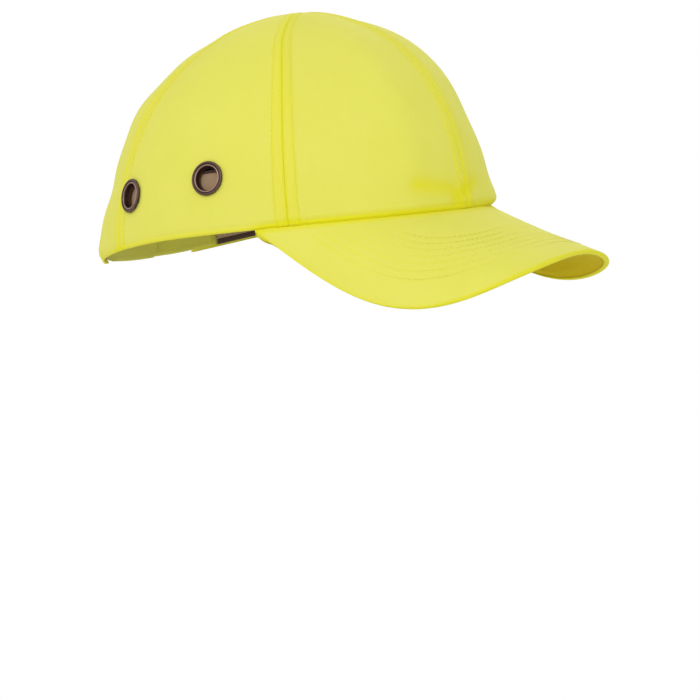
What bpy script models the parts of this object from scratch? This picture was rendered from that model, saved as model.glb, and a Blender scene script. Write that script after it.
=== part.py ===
"""Bump cap: a six-panel cloth cap with a long curved peak and a lift-out protective insert.

Metres, +Z up. The origin is the centre of the head opening, at the height where the crown meets
the peak. The peak points along -Y and the wearer's left is +X. Layers are placed by how far they
lie inside the crown's outer face; a negative depth is outside it.
"""

import math

import bmesh
import bpy
import numpy as np

MM = 0.001

# ---- Crown ---------------------------------------------------------------------------------
CROWN_HEIGHT = 111.5 * MM
CROWN_FRONT = 105.5 * MM        # centre to the front of the rim
CROWN_REAR = 109.8 * MM         # centre to the back of the rim
CROWN_HALF_WIDTH = 95.4 * MM
APEX_FORWARD = 6.9 * MM         # the six seams meet this far ahead of the centre
RIM_RISE_SIDES = 2.7 * MM       # the rim is cut higher over the ears
RIM_DROP_REAR = 8.0 * MM        # and lower at the nape
# Each profile is (1 - (z/height)^fullness)^(1/roundness)
CROWN_ROUNDNESS = 2.04
FRONT_FULLNESS = 2.55
REAR_FULLNESS = 1.50
SIDE_FULLNESS = 1.96
SIDE_SEAM = math.radians(60.3)  # seam azimuths, from the front
REAR_SEAM = math.radians(119.5)
CLOTH = 1.2 * MM                # two plies of twill
GAP = 0.3 * MM                  # clearance between sewn or seated pieces
FACET_SAG = 0.3 * MM            # flat facets dip this far inside a curved face
LINING = CLOTH + GAP + FACET_SAG    # depth at which a piece lies against the cloth's inside
APEX_RADIUS = 0.9 * MM          # the gores' tips stop here

# ---- Seam tapes ------------------------------------------------------------------------------
TAPE_WIDTH = 12.0 * MM
TAPE_THICK = 0.8 * MM
TAPE_START = 38.0 * MM          # height at which a tape starts, above the sweatband
TAPE_APEX_CLEAR = 14.0 * MM     # the tapes stop here so that the six don't meet

# ---- Peak ------------------------------------------------------------------------------------
PEAK_SPREAD = math.radians(69.7)    # half of the rim that the peak is sewn to
PEAK_REACH = 61.7 * MM              # its projection at the middle, seen from above
PEAK_SIDE_POWER, PEAK_NOSE_POWER = 2.66, 3.20
PEAK_SLOPE = math.radians(24.9)     # fall at the middle
PEAK_SLOPE_SIDES = math.radians(15.8)   # more fall at the ends of the seam
PEAK_DRAW_IN = 1.25                 # how far the sides draw in, for each metre of reach
PEAK_ROOT = 3.0 * MM                # strip that runs in under the crown
PEAK_TURN = 9.0 * MM                # it turns from its root to its full slope over this
PEAK_CLOTH = 0.8 * MM
PEAK_BOARD = 1.5 * MM
PEAK_GAP = 0.45 * MM                # clearance between the board and each cover
PEAK_LIP = 2.2 * MM                 # rolled edge beyond the board
PEAK_MIN = 1.2 * MM                 # width left where the outline meets the rim

# ---- Sweatband -------------------------------------------------------------------------------
BAND_THICK = 1.4 * MM
BAND_LOW, BAND_HIGH = 1.5 * MM, 33.0 * MM
BAND_LEAN = 1.6 * MM                # it stands off the cloth above its stitching
BAND_LEAN_HEIGHT = 11.0 * MM

# ---- Rear arch and closure ---------------------------------------------------------------------
ARCH_HALF_WIDTH = 38.0 * MM
ARCH_HEIGHT = 46.0 * MM
BINDING_WIDTH = 4.0 * MM
ARCH_CUT_HALF_WIDTH = ARCH_HALF_WIDTH + BINDING_WIDTH
ARCH_CUT_HEIGHT = ARCH_HEIGHT + BINDING_WIDTH
BINDING_PROUD = 0.6 * MM            # it stands proud of the cloth, outside and inside
STRAP_LOW, STRAP_HIGH = 1.5 * MM, 22.5 * MM
STRAP_THICK = 1.4 * MM
PATCH_THICK = 0.8 * MM              # hook tape and loop tape
PATCH_EDGE = 1.5 * MM               # webbing left bare round a patch
STRAP_HINGE = ARCH_HALF_WIDTH - 9.0 * MM    # where the strap leaves its anchor
STRAP_FREE_END = 27.0 * MM          # its free end, on the other side of the middle
TAB_END = 13.0 * MM                 # the right tab's end, past the middle
STRAP_SEWN_END = ARCH_HALF_WIDTH + 10.0 * MM    # both webbings are sewn in up to here
BAND_END_HALF = STRAP_SEWN_END + 3.0 * MM   # the sweatband stops this far from the middle
# Depths of the webbing's layers, from the tab outwards
TAB_DEPTH = CLOTH + GAP + BINDING_PROUD
LOOP_DEPTH = TAB_DEPTH - GAP - PATCH_THICK
HOOK_DEPTH = LOOP_DEPTH - GAP - PATCH_THICK
STRAP_DEPTH = HOOK_DEPTH - GAP - STRAP_THICK

# ---- Eyelets -----------------------------------------------------------------------------------
EYELETS = {"front": (math.radians(82.8), 28.8 * MM), "rear": (math.radians(113.2), 26.4 * MM)}
EYELET_RADIUS = 9.1 * MM
EYELET_BORE = 5.6 * MM
EYELET_WALL = 0.7 * MM
EYELET_RISE = 1.3 * MM              # the rolled flange stands this far off its seat
WASHER_THICK = 0.7 * MM
WALL_BOW = 0.8 * MM                 # the crown's curve across one eyelet

# ---- Protective insert ---------------------------------------------------------------------------
SHELL_DEPTH = 5.6 * MM              # its outer face, inside the crown's
SHELL_WALL = 2.0 * MM
SHELL_LOW_FRONT = 24.0 * MM
SHELL_LOW_REAR = 54.0 * MM          # cut high to clear the arch
SLOT_WIDTH, SLOT_LENGTH = 5.0 * MM, 26.0 * MM
SLOT_HEIGHT = 63.0 * MM
SLOT_AZIMUTHS = (math.radians(62.0), math.radians(84.0), math.radians(106.0))
PAD_DEPTH = SHELL_DEPTH + SHELL_WALL + GAP + FACET_SAG
PAD_THICK = 5.5 * MM
CROWN_PAD_RADIUS = 44.0 * MM
SHELL_APEX_RADIUS = 12.0 * MM       # its last row of points lies this far from the apex
# Each pad: azimuths of its two ends in degrees, its lower and upper edge, points along it
PADS = {
    "pad_front": (-42.0, 42.0, 36.0 * MM, 62.0 * MM, 11),
    "pad_rear": (152.0, 208.0, 60.0 * MM, 80.0 * MM, 9),
    "pad_side_left": (60.0, 110.0, 34.0 * MM, 46.0 * MM, 8),
    "pad_side_right": (-110.0, -60.0, 34.0 * MM, 46.0 * MM, 8),
}
GRIP_WIDTH, GRIP_HEIGHT = 22.0 * MM, 20.0 * MM
GRIP_THICK = 1.4 * MM
GRIP_Z = 66.0 * MM
GRIP_AZIMUTHS = {"front": math.radians(30.0), "rear": math.radians(149.0)}

# ---- Colours: (r, g, b), roughness, metallic -----------------------------------------------------
FINISHES = {
    "hi_vis_cloth": ((0.77, 0.75, 0.13), 0.9, 0.0),
    "peak_core": ((0.85, 0.85, 0.82), 0.6, 0.0),
    "tan_band": ((0.42, 0.28, 0.17), 0.9, 0.0),
    "antique_brass": ((0.16, 0.11, 0.05), 0.4, 0.9),
    "webbing": ((0.72, 0.70, 0.12), 0.85, 0.0),
    "grip_tape": ((0.05, 0.05, 0.05), 0.95, 0.0),
    "shell_plastic": ((0.03, 0.03, 0.035), 0.45, 0.0),
    "pad_foam": ((0.06, 0.06, 0.065), 0.95, 0.0),
}
SIDES = {"right": -1, "left": 1}


# ---- The crown's surface ---------------------------------------------------------------------
def profile(height, fullness):
    """Share of the rim's size that is left at a height above the rim."""
    share = min(max(height / CROWN_HEIGHT, 0.0), 1.0)
    return max(1.0 - share**fullness, 0.0) ** (1.0 / CROWN_ROUNDNESS)


def rim_height(azimuth):
    """Height of the rim line, which is arched over the ears and drops at the nape."""
    across = math.sin(azimuth) ** 2
    rear = RIM_DROP_REAR if math.cos(azimuth) < 0.0 else 0.0
    return RIM_RISE_SIDES * across - rear * (1.0 - across)


def crown_face(azimuth, height):
    """A point of the crown's outer face, as a numpy vector."""
    share = min(max(height / CROWN_HEIGHT, 0.0), 1.0)
    if math.cos(azimuth) > 0.0:
        reach = CROWN_FRONT * profile(height, FRONT_FULLNESS)
    else:
        reach = CROWN_REAR * profile(height, REAR_FULLNESS)
    half = CROWN_HALF_WIDTH * profile(height, SIDE_FULLNESS)
    return np.array(
        [
            half * math.sin(azimuth),
            -reach * math.cos(azimuth) - APEX_FORWARD * share**3,
            height + rim_height(azimuth) * (1.0 - share) ** 1.5,
        ]
    )


def crown_normal(azimuth, height):
    """The outward unit normal of the crown's face."""
    step = 0.004
    low = max(height - 0.5 * MM, 0.0)
    high = min(height + 0.5 * MM, CROWN_HEIGHT - 0.02 * MM)
    along = crown_face(azimuth + step, height) - crown_face(azimuth - step, height)
    up = crown_face(azimuth, high) - crown_face(azimuth, low)
    normal = np.cross(along, up)
    return normal / np.linalg.norm(normal)


def crown_point(azimuth, height, depth):
    """A point at a depth inside the crown's outer face."""
    return crown_face(azimuth, height) - depth * crown_normal(azimuth, height)


def height_at_radius(azimuth, radius):
    """The height at which the crown closes in to a radius round its apex."""
    low, high = 0.0, CROWN_HEIGHT
    apex = crown_face(azimuth, CROWN_HEIGHT)
    for _ in range(40):
        middle = (low + high) / 2.0
        if np.linalg.norm((crown_face(azimuth, middle) - apex)[:2]) > radius:
            low = middle
        else:
            high = middle
    return low


def azimuth_at_x(height, x):
    """The azimuth on the back of the crown at which it has an x, at a height."""
    half = CROWN_HALF_WIDTH * profile(height, SIDE_FULLNESS)
    return math.pi - math.asin(max(min(x / half, 1.0), -1.0))


def side_shift(azimuth, height, distance):
    """The azimuth that lies a distance further round the crown."""
    step = 0.002
    span = crown_face(azimuth + step, height) - crown_face(azimuth - step, height)
    return azimuth + distance * 2.0 * step / max(np.linalg.norm(span[:2]), 1e-6)


# ---- Mesh helpers ------------------------------------------------------------------------------
def finish(name):
    """The material of a name, made once."""
    found = bpy.data.materials.get(name)
    if found:
        return found
    colour, roughness, metallic = FINISHES[name]
    material = bpy.data.materials.new(name)
    material.use_nodes = True
    shader = material.node_tree.nodes["Principled BSDF"]
    shader.inputs["Base Color"].default_value = (*colour, 1.0)
    shader.inputs["Roughness"].default_value = roughness
    shader.inputs["Metallic"].default_value = metallic
    return material


def add_object(name, points, faces, finish_name, smooth_angle=40.0):
    """One named object from points and faces, with its faces turned outwards."""
    mesh = bpy.data.meshes.new(name)
    mesh.from_pydata([tuple(p) for p in points], [], faces)
    work = bmesh.new()
    work.from_mesh(mesh)
    bmesh.ops.remove_doubles(work, verts=work.verts, dist=0.01 * MM)
    bmesh.ops.recalc_face_normals(work, faces=work.faces)
    if work.calc_volume(signed=True) < 0.0:
        bmesh.ops.reverse_faces(work, faces=work.faces)
    work.to_mesh(mesh)
    work.free()
    mesh.shade_smooth()
    mesh.set_sharp_from_angle(angle=math.radians(smooth_angle))
    obj = bpy.data.objects.new(name, mesh)
    obj.data.materials.append(finish(finish_name))
    bpy.context.scene.collection.objects.link(obj)
    return obj


def slab(name, outer, inner, finish_name, closed=False):
    """A closed sheet between two equal grids of points, rows by columns.

    A closed slab joins its last column to its first.
    """
    rows, columns = len(outer), len(outer[0])
    points = [p for row in outer for p in row] + [p for row in inner for p in row]
    half = rows * columns

    def at(side, row, column):
        return side * half + row * columns + column % columns

    faces = []
    last = columns if closed else columns - 1
    for row in range(rows - 1):
        for column in range(last):
            corner = (row, column), (row, column + 1), (row + 1, column + 1), (row + 1, column)
            faces.append([at(0, *c) for c in corner])
            faces.append([at(1, *c) for c in reversed(corner)])
    for column in range(last):
        for row in (0, rows - 1):
            faces.append([at(0, row, column), at(0, row, column + 1),
                          at(1, row, column + 1), at(1, row, column)])
    if not closed:
        for row in range(rows - 1):
            for column in (0, columns - 1):
                faces.append([at(0, row, column), at(0, row + 1, column),
                              at(1, row + 1, column), at(1, row, column)])
    return add_object(name, points, faces, finish_name)


def crown_slab(name, azimuths, heights, depth, thick, finish_name, closed=False):
    """A slab that follows the crown. Azimuths and heights are grids, depth a number or grid."""
    depths = depth if isinstance(depth, list) else [[depth] * len(row) for row in azimuths]
    rows = range(len(azimuths))
    outer = [[crown_point(a, h, d) for a, h, d in zip(azimuths[r], heights[r], depths[r])]
             for r in rows]
    inner = [[crown_point(a, h, d + thick) for a, h, d in zip(azimuths[r], heights[r], depths[r])]
             for r in rows]
    return slab(name, outer, inner, finish_name, closed)


def ring_solid(name, centre, outward, profile_points, finish_name, segments=16):
    """A turned ring from (radius, rise) points, with its axis along a direction."""
    outward = outward / np.linalg.norm(outward)
    side = np.cross(outward, np.array([0.0, 0.0, 1.0]))
    side = side / np.linalg.norm(side)
    up = np.cross(side, outward)
    points = []
    for step in range(segments):
        angle = 2.0 * math.pi * step / segments
        spoke = math.cos(angle) * side + math.sin(angle) * up
        points += [centre + radius * spoke + rise * outward for radius, rise in profile_points]
    count = len(profile_points)
    faces = []
    for step in range(segments):
        after = (step + 1) % segments
        for k in range(count):
            n = (k + 1) % count
            faces.append([step * count + k, after * count + k, after * count + n,
                          step * count + n])
    return add_object(name, points, faces, finish_name)


def spread(low, high, count):
    """Evenly spaced values, both ends included."""
    return [low + (high - low) * k / (count - 1) for k in range(count)]


# ---- Crown panels --------------------------------------------------------------------------------
def climb(count):
    """Shares of the way from the rim to the apex, closer together near the apex."""
    return [1.0 - (1.0 - k / (count - 1)) ** 2 for k in range(count)]


def plain_panel(name, start, end):
    """A gore between two seams, from the rim to the apex."""
    top = height_at_radius((start + end) / 2.0, APEX_RADIUS)
    azimuths, heights = [], []
    for share in climb(11):
        height = top * share
        low = side_shift(start, height, GAP / 2.0)
        high = side_shift(end, height, -GAP / 2.0)
        azimuths.append(spread(low, high, 10))
        heights.append([height] * 10)
    return crown_slab(name, azimuths, heights, 0.0, CLOTH, "hi_vis_cloth")


def back_edge(plain, arched):
    """The lower edge of a back panel from its seam to the middle: (azimuth, height) points."""
    corner = azimuth_at_x(0.0, ARCH_CUT_HALF_WIDTH)
    edge = [(REAR_SEAM + (corner - REAR_SEAM) * k / plain, 0.0) for k in range(plain)]
    for k in range(arched):
        turn = (math.pi / 2.0) * (1.0 - k / (arched - 1))
        height = ARCH_CUT_HEIGHT * math.cos(turn)
        edge.append((azimuth_at_x(height, ARCH_CUT_HALF_WIDTH * math.sin(turn)), height))
    return edge


def back_panel(name, side):
    """A gore at the back, with its half of the arch cut from its lower edge."""
    top = height_at_radius(math.pi, APEX_RADIUS)
    edge = back_edge(5, 8)
    azimuths, heights = [], []
    for share in climb(12):
        line, levels = [], []
        for k, (azimuth, low) in enumerate(edge):
            height = low + (top - low) * share
            start = side_shift(REAR_SEAM, height, GAP / 2.0)
            end = side_shift(math.pi, height, -GAP / 2.0)
            below = (azimuth - REAR_SEAM) / (math.pi - REAR_SEAM)
            across = below + (k / (len(edge) - 1) - below) * share
            line.append(side * (start + (end - start) * across))
            levels.append(height)
        azimuths.append(line)
        heights.append(levels)
    return crown_slab(name, azimuths, heights, 0.0, CLOTH, "hi_vis_cloth")


def build_panels():
    """The six gores."""
    for word, side in SIDES.items():
        plain_panel(f"front_panel_{word}", *sorted((0.0, side * SIDE_SEAM)))
        panel = plain_panel(f"side_panel_{word}", *sorted((side * SIDE_SEAM, side * REAR_SEAM)))
        pierce_for_eyelets(panel, side)
        back_panel(f"back_panel_{word}", side)


def add_cutter(name, points, faces):
    """A hidden solid that another piece is cut by."""
    cutter = add_object(name, points, faces, "hi_vis_cloth")
    cutter.hide_render = True
    cutter.display_type = "WIRE"
    return cutter


def cut(obj, cutter):
    """Take a cutter out of an object."""
    modifier = obj.modifiers.new(cutter.name, "BOOLEAN")
    modifier.operation = "DIFFERENCE"
    modifier.solver = "EXACT"
    modifier.object = cutter


def prism(outline, low, high, centre, across, up, outward):
    """Points and faces of an outline pushed from one level to another along a direction."""
    points = []
    for level in (low, high):
        points += [centre + x * across + y * up + level * outward for x, y in outline]
    count = len(outline)
    faces = [list(range(count)), list(range(2 * count - 1, count - 1, -1))]
    for k in range(count):
        n = (k + 1) % count
        faces.append([k, n, count + n, count + k])
    return points, faces


def frame_at(azimuth, height):
    """The crown's point, and its directions across, up and outwards there."""
    outward = crown_normal(azimuth, height)
    across = np.cross(np.array([0.0, 0.0, 1.0]), outward)
    across = across / np.linalg.norm(across)
    return crown_face(azimuth, height), across, np.cross(outward, across), outward


def pierce_for_eyelets(panel, side):
    """Round holes in a side panel for its two eyelets."""
    radius = EYELET_BORE + EYELET_WALL + GAP
    outline = [(radius * math.cos(2 * math.pi * k / 16), radius * math.sin(2 * math.pi * k / 16))
               for k in range(16)]
    for word, (azimuth, height) in EYELETS.items():
        centre, across, up, outward = frame_at(side * azimuth, height)
        points, faces = prism(outline, -5.0 * MM, 5.0 * MM, centre, across, up, outward)
        cut(panel, add_cutter(f"cutter_{panel.name}_{word}", points, faces))


def build_eyelets():
    """Four eyelets with rolled flanges, and the washers inside the cloth."""
    inside = CLOTH + WALL_BOW + GAP
    barrel = EYELET_BORE + EYELET_WALL
    for side_word, side in SIDES.items():
        for word, (azimuth, height) in EYELETS.items():
            centre, _, _, outward = frame_at(side * azimuth, height)
            body = [
                (EYELET_BORE, EYELET_RISE * 0.6), (EYELET_BORE + 0.9 * MM, EYELET_RISE),
                (EYELET_RADIUS - 1.0 * MM, EYELET_RISE * 0.85), (EYELET_RADIUS, GAP + 0.2 * MM),
                (EYELET_RADIUS - 0.3 * MM, GAP), (barrel, GAP),
                (barrel, -inside - WASHER_THICK), (EYELET_BORE, -inside - WASHER_THICK),
            ]
            ring_solid(f"eyelet_{word}_{side_word}", centre, outward, body, "antique_brass")
            washer = [(barrel + GAP, -inside), (EYELET_RADIUS, -inside),
                      (EYELET_RADIUS, -inside - WASHER_THICK),
                      (barrel + GAP, -inside - WASHER_THICK)]
            ring_solid(f"eyelet_washer_{word}_{side_word}", centre, outward, washer,
                       "antique_brass")


# ---- Seam tapes ------------------------------------------------------------------------------------
def build_tapes():
    """A tape behind each of the six seams."""
    seams = {"front": 0.0, "side_right": -SIDE_SEAM, "side_left": SIDE_SEAM,
             "rear_right": -REAR_SEAM, "rear_left": REAR_SEAM, "back": math.pi}
    for word, azimuth in seams.items():
        start = TAPE_START
        if word == "back":
            start = ARCH_CUT_HEIGHT + 2.0 * MM
        top = height_at_radius(azimuth, TAPE_APEX_CLEAR)
        azimuths, heights = [], []
        for share in climb(9):
            height = start + (top - start) * share
            azimuths.append([side_shift(azimuth, height, x)
                             for x in spread(-TAPE_WIDTH / 2.0, TAPE_WIDTH / 2.0, 3)])
            heights.append([height] * 3)
        crown_slab(f"seam_tape_{word}", azimuths, heights, LINING, TAPE_THICK,
                   "hi_vis_cloth")


# ---- Peak ------------------------------------------------------------------------------------------
def peak_width(share):
    """The peak's reach in front of the rim, at a share of its spread from -1 to 1."""
    azimuth = share * PEAK_SPREAD
    across = abs(math.sin(azimuth) / math.sin(PEAK_SPREAD))
    length = CROWN_FRONT * (1.0 - math.cos(PEAK_SPREAD)) + PEAK_REACH
    nose = length * max(1.0 - across**PEAK_SIDE_POWER, 0.0) ** (1.0 / PEAK_NOSE_POWER)
    reach = nose - CROWN_FRONT * (math.cos(azimuth) - math.cos(PEAK_SPREAD))
    return max(reach, PEAK_MIN)


def peak_face(share, reach):
    """A point of the peak's upper face, a distance in front of the rim."""
    azimuth = share * PEAK_SPREAD
    root = crown_face(azimuth, 0.0)
    if reach <= 0.0:
        point = root - crown_normal(azimuth, 0.0) * -reach
        point[2] = root[2] - GAP
        return point
    slope = PEAK_SLOPE + PEAK_SLOPE_SIDES * share * share
    draw = PEAK_DRAW_IN * reach * root[0]
    return np.array([root[0] - draw, root[1] - reach, root[2] - GAP - math.tan(slope) * reach])


def peak_point(share, reach, depth):
    """A point at a depth below the peak's upper face."""
    if reach <= 0.0:
        return peak_face(share, reach) - np.array([0.0, 0.0, depth])
    across = peak_face(share + 0.002, reach) - peak_face(share - 0.002, reach)
    forward = peak_face(share, reach + 0.1 * MM) - peak_face(share, reach)
    square = np.cross(across, forward)
    turn = min(reach / PEAK_TURN, 1.0)
    below = turn * square / np.linalg.norm(square) - (1.0 - turn) * np.array([0.0, 0.0, 1.0])
    return peak_face(share, reach) + depth * below / np.linalg.norm(below)


def peak_stations(edge):
    """Distances in front of the rim at which a layer has its rows of points."""
    return [-PEAK_ROOT, 0.0] + [edge * k / 5.0 for k in range(1, 6)]


def build_peak():
    """Two covers that close round a stiff board."""
    shares = [math.sin(math.pi / 2.0 * k) for k in spread(-1.0, 1.0, 25)]
    total = 2.0 * PEAK_CLOTH + PEAK_BOARD + 2.0 * PEAK_GAP
    middle = total / 2.0
    for name, face, back, lip in (
        ("peak_top_cover", 0.0, PEAK_CLOTH, middle - GAP / 2.0),
        ("peak_under_cover", total, total - PEAK_CLOTH, middle + GAP / 2.0),
    ):
        outer, inner = [], []
        for k in range(9):
            outer_row, inner_row = [], []
            for share in shares:
                width = peak_width(share)
                wall = max(width - PEAK_LIP, 0.3 * width)
                stations = peak_stations(wall) + [wall + 0.1 * MM, width]
                reach = stations[k]
                outer_row.append(peak_point(share, reach, face))
                inner_row.append(peak_point(share, reach, lip if k > 6 else back))
            outer.append(outer_row)
            inner.append(inner_row)
        slab(name, outer, inner, "hi_vis_cloth")
    outer, inner = [], []
    for k in range(7):
        rows = [], []
        for share in shares[2:-2]:
            width = peak_width(share)
            wall = max(width - PEAK_LIP, 0.3 * width) - GAP
            reach = peak_stations(wall)[k]
            rows[0].append(peak_point(share, reach, PEAK_CLOTH + PEAK_GAP))
            rows[1].append(peak_point(share, reach, PEAK_CLOTH + PEAK_GAP + PEAK_BOARD))
        outer.append(rows[0])
        inner.append(rows[1])
    slab("peak_board", outer, inner, "peak_core")


# ---- Sweatband ---------------------------------------------------------------------------------------
def band_depth(height):
    """How deep the sweatband lies at a height: it leans off the cloth above its stitching."""
    share = min(max(height - BAND_LOW, 0.0) / BAND_LEAN_HEIGHT, 1.0)
    return LINING + BAND_LEAN * share * share * (3.0 - 2.0 * share)


def build_sweatband():
    """A band round the head opening, open at the back."""
    end = azimuth_at_x(BAND_LOW, BAND_END_HALF)
    levels = spread(BAND_LOW, BAND_LOW + BAND_LEAN_HEIGHT, 5) + [BAND_HIGH]
    azimuths = [spread(-end, end, 53) for _ in levels]
    heights = [[level] * 53 for level in levels]
    depths = [[band_depth(level)] * 53 for level in levels]
    crown_slab("sweatband", azimuths, heights, depths, BAND_THICK, "tan_band")


# ---- Rear arch and closure -----------------------------------------------------------------------------
def build_arch_binding():
    """A bound edge that follows the arch from rim to rim."""
    outer, inner = [], []
    for inset in (BINDING_WIDTH - GAP, 0.0):
        rows = [], []
        for turn in spread(-math.pi / 2.0, math.pi / 2.0, 25):
            height = (ARCH_HEIGHT + inset) * math.cos(turn)
            azimuth = azimuth_at_x(height, (ARCH_HALF_WIDTH + inset) * math.sin(turn))
            rows[0].append(crown_point(azimuth, height, -BINDING_PROUD))
            rows[1].append(crown_point(azimuth, height, CLOTH + BINDING_PROUD))
        outer.append(rows[0])
        inner.append(rows[1])
    slab("arch_binding", outer, inner, "hi_vis_cloth")


def webbing_piece(name, start, end, depth_at, thick, finish_name, low=STRAP_LOW,
                  high=STRAP_HIGH, count=11):
    """A strip across the back from one x to another, at a depth that depends on x."""
    azimuths, heights, depths = [], [], []
    for height in spread(low, high, 3):
        places = spread(start, end, count)
        azimuths.append([azimuth_at_x(height, x) for x in places])
        heights.append([height] * count)
        depths.append([depth_at(x) for x in places])
    return crown_slab(name, azimuths, heights, depths, thick, finish_name)


def strap_depth(x):
    """The strap's outer face: level with its anchor at the hinge, outside the tab beyond."""
    share = min(max((STRAP_HINGE - x) / (STRAP_HINGE - TAB_END - 2.0 * MM), 0.0), 1.0)
    return TAB_DEPTH + (STRAP_DEPTH - TAB_DEPTH) * share * share * (3.0 - 2.0 * share)


def build_closure():
    """Webbing sewn in at each side, joined over the arch by hook tape and loop tape."""
    webbing_piece("strap_tab_right", -STRAP_SEWN_END, TAB_END, lambda x: TAB_DEPTH, STRAP_THICK,
                  "webbing", count=13)
    webbing_piece("strap_loop_patch", -STRAP_FREE_END + PATCH_EDGE, TAB_END - PATCH_EDGE,
                  lambda x: LOOP_DEPTH, PATCH_THICK, "grip_tape",
                  STRAP_LOW + PATCH_EDGE, STRAP_HIGH - PATCH_EDGE, 8)
    webbing_piece("strap_anchor_left", STRAP_HINGE + GAP / 2.0, STRAP_SEWN_END,
                  lambda x: TAB_DEPTH, STRAP_THICK, "webbing", count=6)
    webbing_piece("closure_strap", -STRAP_FREE_END, STRAP_HINGE - GAP / 2.0, strap_depth,
                  STRAP_THICK, "webbing", count=21)
    webbing_piece("strap_hook_patch", -STRAP_FREE_END + PATCH_EDGE, TAB_END - PATCH_EDGE,
                  lambda x: HOOK_DEPTH, PATCH_THICK, "grip_tape",
                  STRAP_LOW + PATCH_EDGE, STRAP_HIGH - PATCH_EDGE, 8)


# ---- Protective insert -----------------------------------------------------------------------------------
def shell_low(azimuth):
    """Height of the shell's lower edge: low on the brow, high over the arch."""
    turn = abs(math.remainder(azimuth, 2.0 * math.pi))
    share = min(max((turn - math.radians(115.0)) / math.radians(40.0), 0.0), 1.0)
    return SHELL_LOW_FRONT + (SHELL_LOW_REAR - SHELL_LOW_FRONT) * share * share * (3 - 2 * share)


def crown_disc(name, azimuth_count, rows, height_at, depth, thick, finish_name):
    """A solid cap round the apex. height_at(azimuth, row) gives each row's height."""
    apex_height = CROWN_HEIGHT - 0.05 * MM
    azimuths = [2.0 * math.pi * k / azimuth_count for k in range(azimuth_count)]
    points, faces = [], []
    for layer in (depth, depth + thick):
        for row in range(rows):
            points += [crown_point(a, height_at(a, row), layer) for a in azimuths]
        points.append(crown_face(0.0, apex_height) - np.array([0.0, 0.0, layer]))
    size = rows * azimuth_count + 1
    for side in (0, 1):
        base = side * size
        for row in range(rows - 1):
            for k in range(azimuth_count):
                n = (k + 1) % azimuth_count
                faces.append([base + row * azimuth_count + k, base + row * azimuth_count + n,
                              base + (row + 1) * azimuth_count + n,
                              base + (row + 1) * azimuth_count + k][:: 1 - 2 * side])
        top = base + (rows - 1) * azimuth_count
        for k in range(azimuth_count):
            n = (k + 1) % azimuth_count
            faces.append([top + k, top + n, base + size - 1][:: 1 - 2 * side])
    for k in range(azimuth_count):
        n = (k + 1) % azimuth_count
        faces.append([k, size + k, size + n, n])
    return add_object(name, points, faces, finish_name)


def shell_row_height(azimuth, row):
    """Heights of the shell's rows, from its edge to close round the apex."""
    low = shell_low(azimuth)
    top = height_at_radius(azimuth, SHELL_APEX_RADIUS)
    return low + (top - low) * climb(12)[row]


def pad_row_height(azimuth, row):
    """Heights of the crown pad's rows."""
    return height_at_radius(azimuth, CROWN_PAD_RADIUS * (1.0 - 0.27 * row))


def build_pad(name, start, end, low, high, count):
    """A foam pad on the shell's inner face, between two azimuths in degrees and two heights."""
    azimuths = [spread(math.radians(start), math.radians(end), count) for _ in range(4)]
    heights = [[level] * count for level in spread(low, high, 4)]
    crown_slab(name, azimuths, heights, PAD_DEPTH, PAD_THICK, "pad_foam")


def build_insert():
    """The moulded shell with its air slots, the foam pads and the grips."""
    shell = crown_disc("bump_shell", 48, 12, shell_row_height, SHELL_DEPTH, SHELL_WALL,
                       "shell_plastic")
    for word, side in SIDES.items():
        for number, azimuth in enumerate(SLOT_AZIMUTHS):
            centre, across, up, outward = frame_at(side * azimuth, SLOT_HEIGHT)
            radius, straight = SLOT_WIDTH / 2.0, (SLOT_LENGTH - SLOT_WIDTH) / 2.0
            outline = []
            for k in range(10):
                angle = math.pi * (k % 5) / 4.0 + (math.pi if k >= 5 else 0.0)
                rise = straight if k < 5 else -straight
                outline.append((radius * math.cos(angle), rise + radius * math.sin(angle)))
            points, faces = prism(outline, -SHELL_DEPTH - SHELL_WALL - 3.0 * MM,
                                  -SHELL_DEPTH + 3.0 * MM, centre, across, up, outward)
            cut(shell, add_cutter(f"cutter_slot_{word}_{number}", points, faces))
    crown_disc("pad_crown", 24, 4, pad_row_height, PAD_DEPTH, PAD_THICK, "pad_foam")
    for name, sizes in PADS.items():
        build_pad(name, *sizes)


def build_grips():
    """Loop tape inside the crown and hook tape on the shell, in four places."""
    for side_word, side in SIDES.items():
        for word, azimuth in GRIP_AZIMUTHS.items():
            azimuths, heights = [], []
            for height in spread(GRIP_Z - GRIP_HEIGHT / 2.0, GRIP_Z + GRIP_HEIGHT / 2.0, 3):
                azimuths.append([side_shift(side * azimuth, height, x)
                                 for x in spread(-GRIP_WIDTH / 2.0, GRIP_WIDTH / 2.0, 4)])
                heights.append([height] * 4)
            name = f"{word}_{side_word}"
            crown_slab(f"insert_loop_{name}", azimuths, heights, LINING, GRIP_THICK,
                       "grip_tape")
            crown_slab(f"insert_hook_{name}", azimuths, heights,
                       SHELL_DEPTH - GAP - GRIP_THICK, GRIP_THICK, "grip_tape")


def main():
    """Empty the scene, then build every piece."""
    for obj in list(bpy.data.objects):
        bpy.data.objects.remove(obj, do_unlink=True)
    build_panels()
    build_eyelets()
    build_tapes()
    build_peak()
    build_sweatband()
    build_arch_binding()
    build_closure()
    build_insert()
    build_grips()


main()
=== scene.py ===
"""Bump cap: the visual model of a six-panel hi-vis cap with a long peak and a lift-out insert.

Every piece is in metres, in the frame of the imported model: the origin is the centre of the head
opening, the peak points along -Y and the wearer's left is +X. Azimuths are measured from the
front, towards the wearer's left. Depths are measured inwards from the crown's outer face.
"""

from __future__ import annotations

import logging
import math
from dataclasses import dataclass
from enum import Enum
from typing import Callable, Sequence

import bpy
import numpy as np
from mathutils import Matrix, Vector


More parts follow.
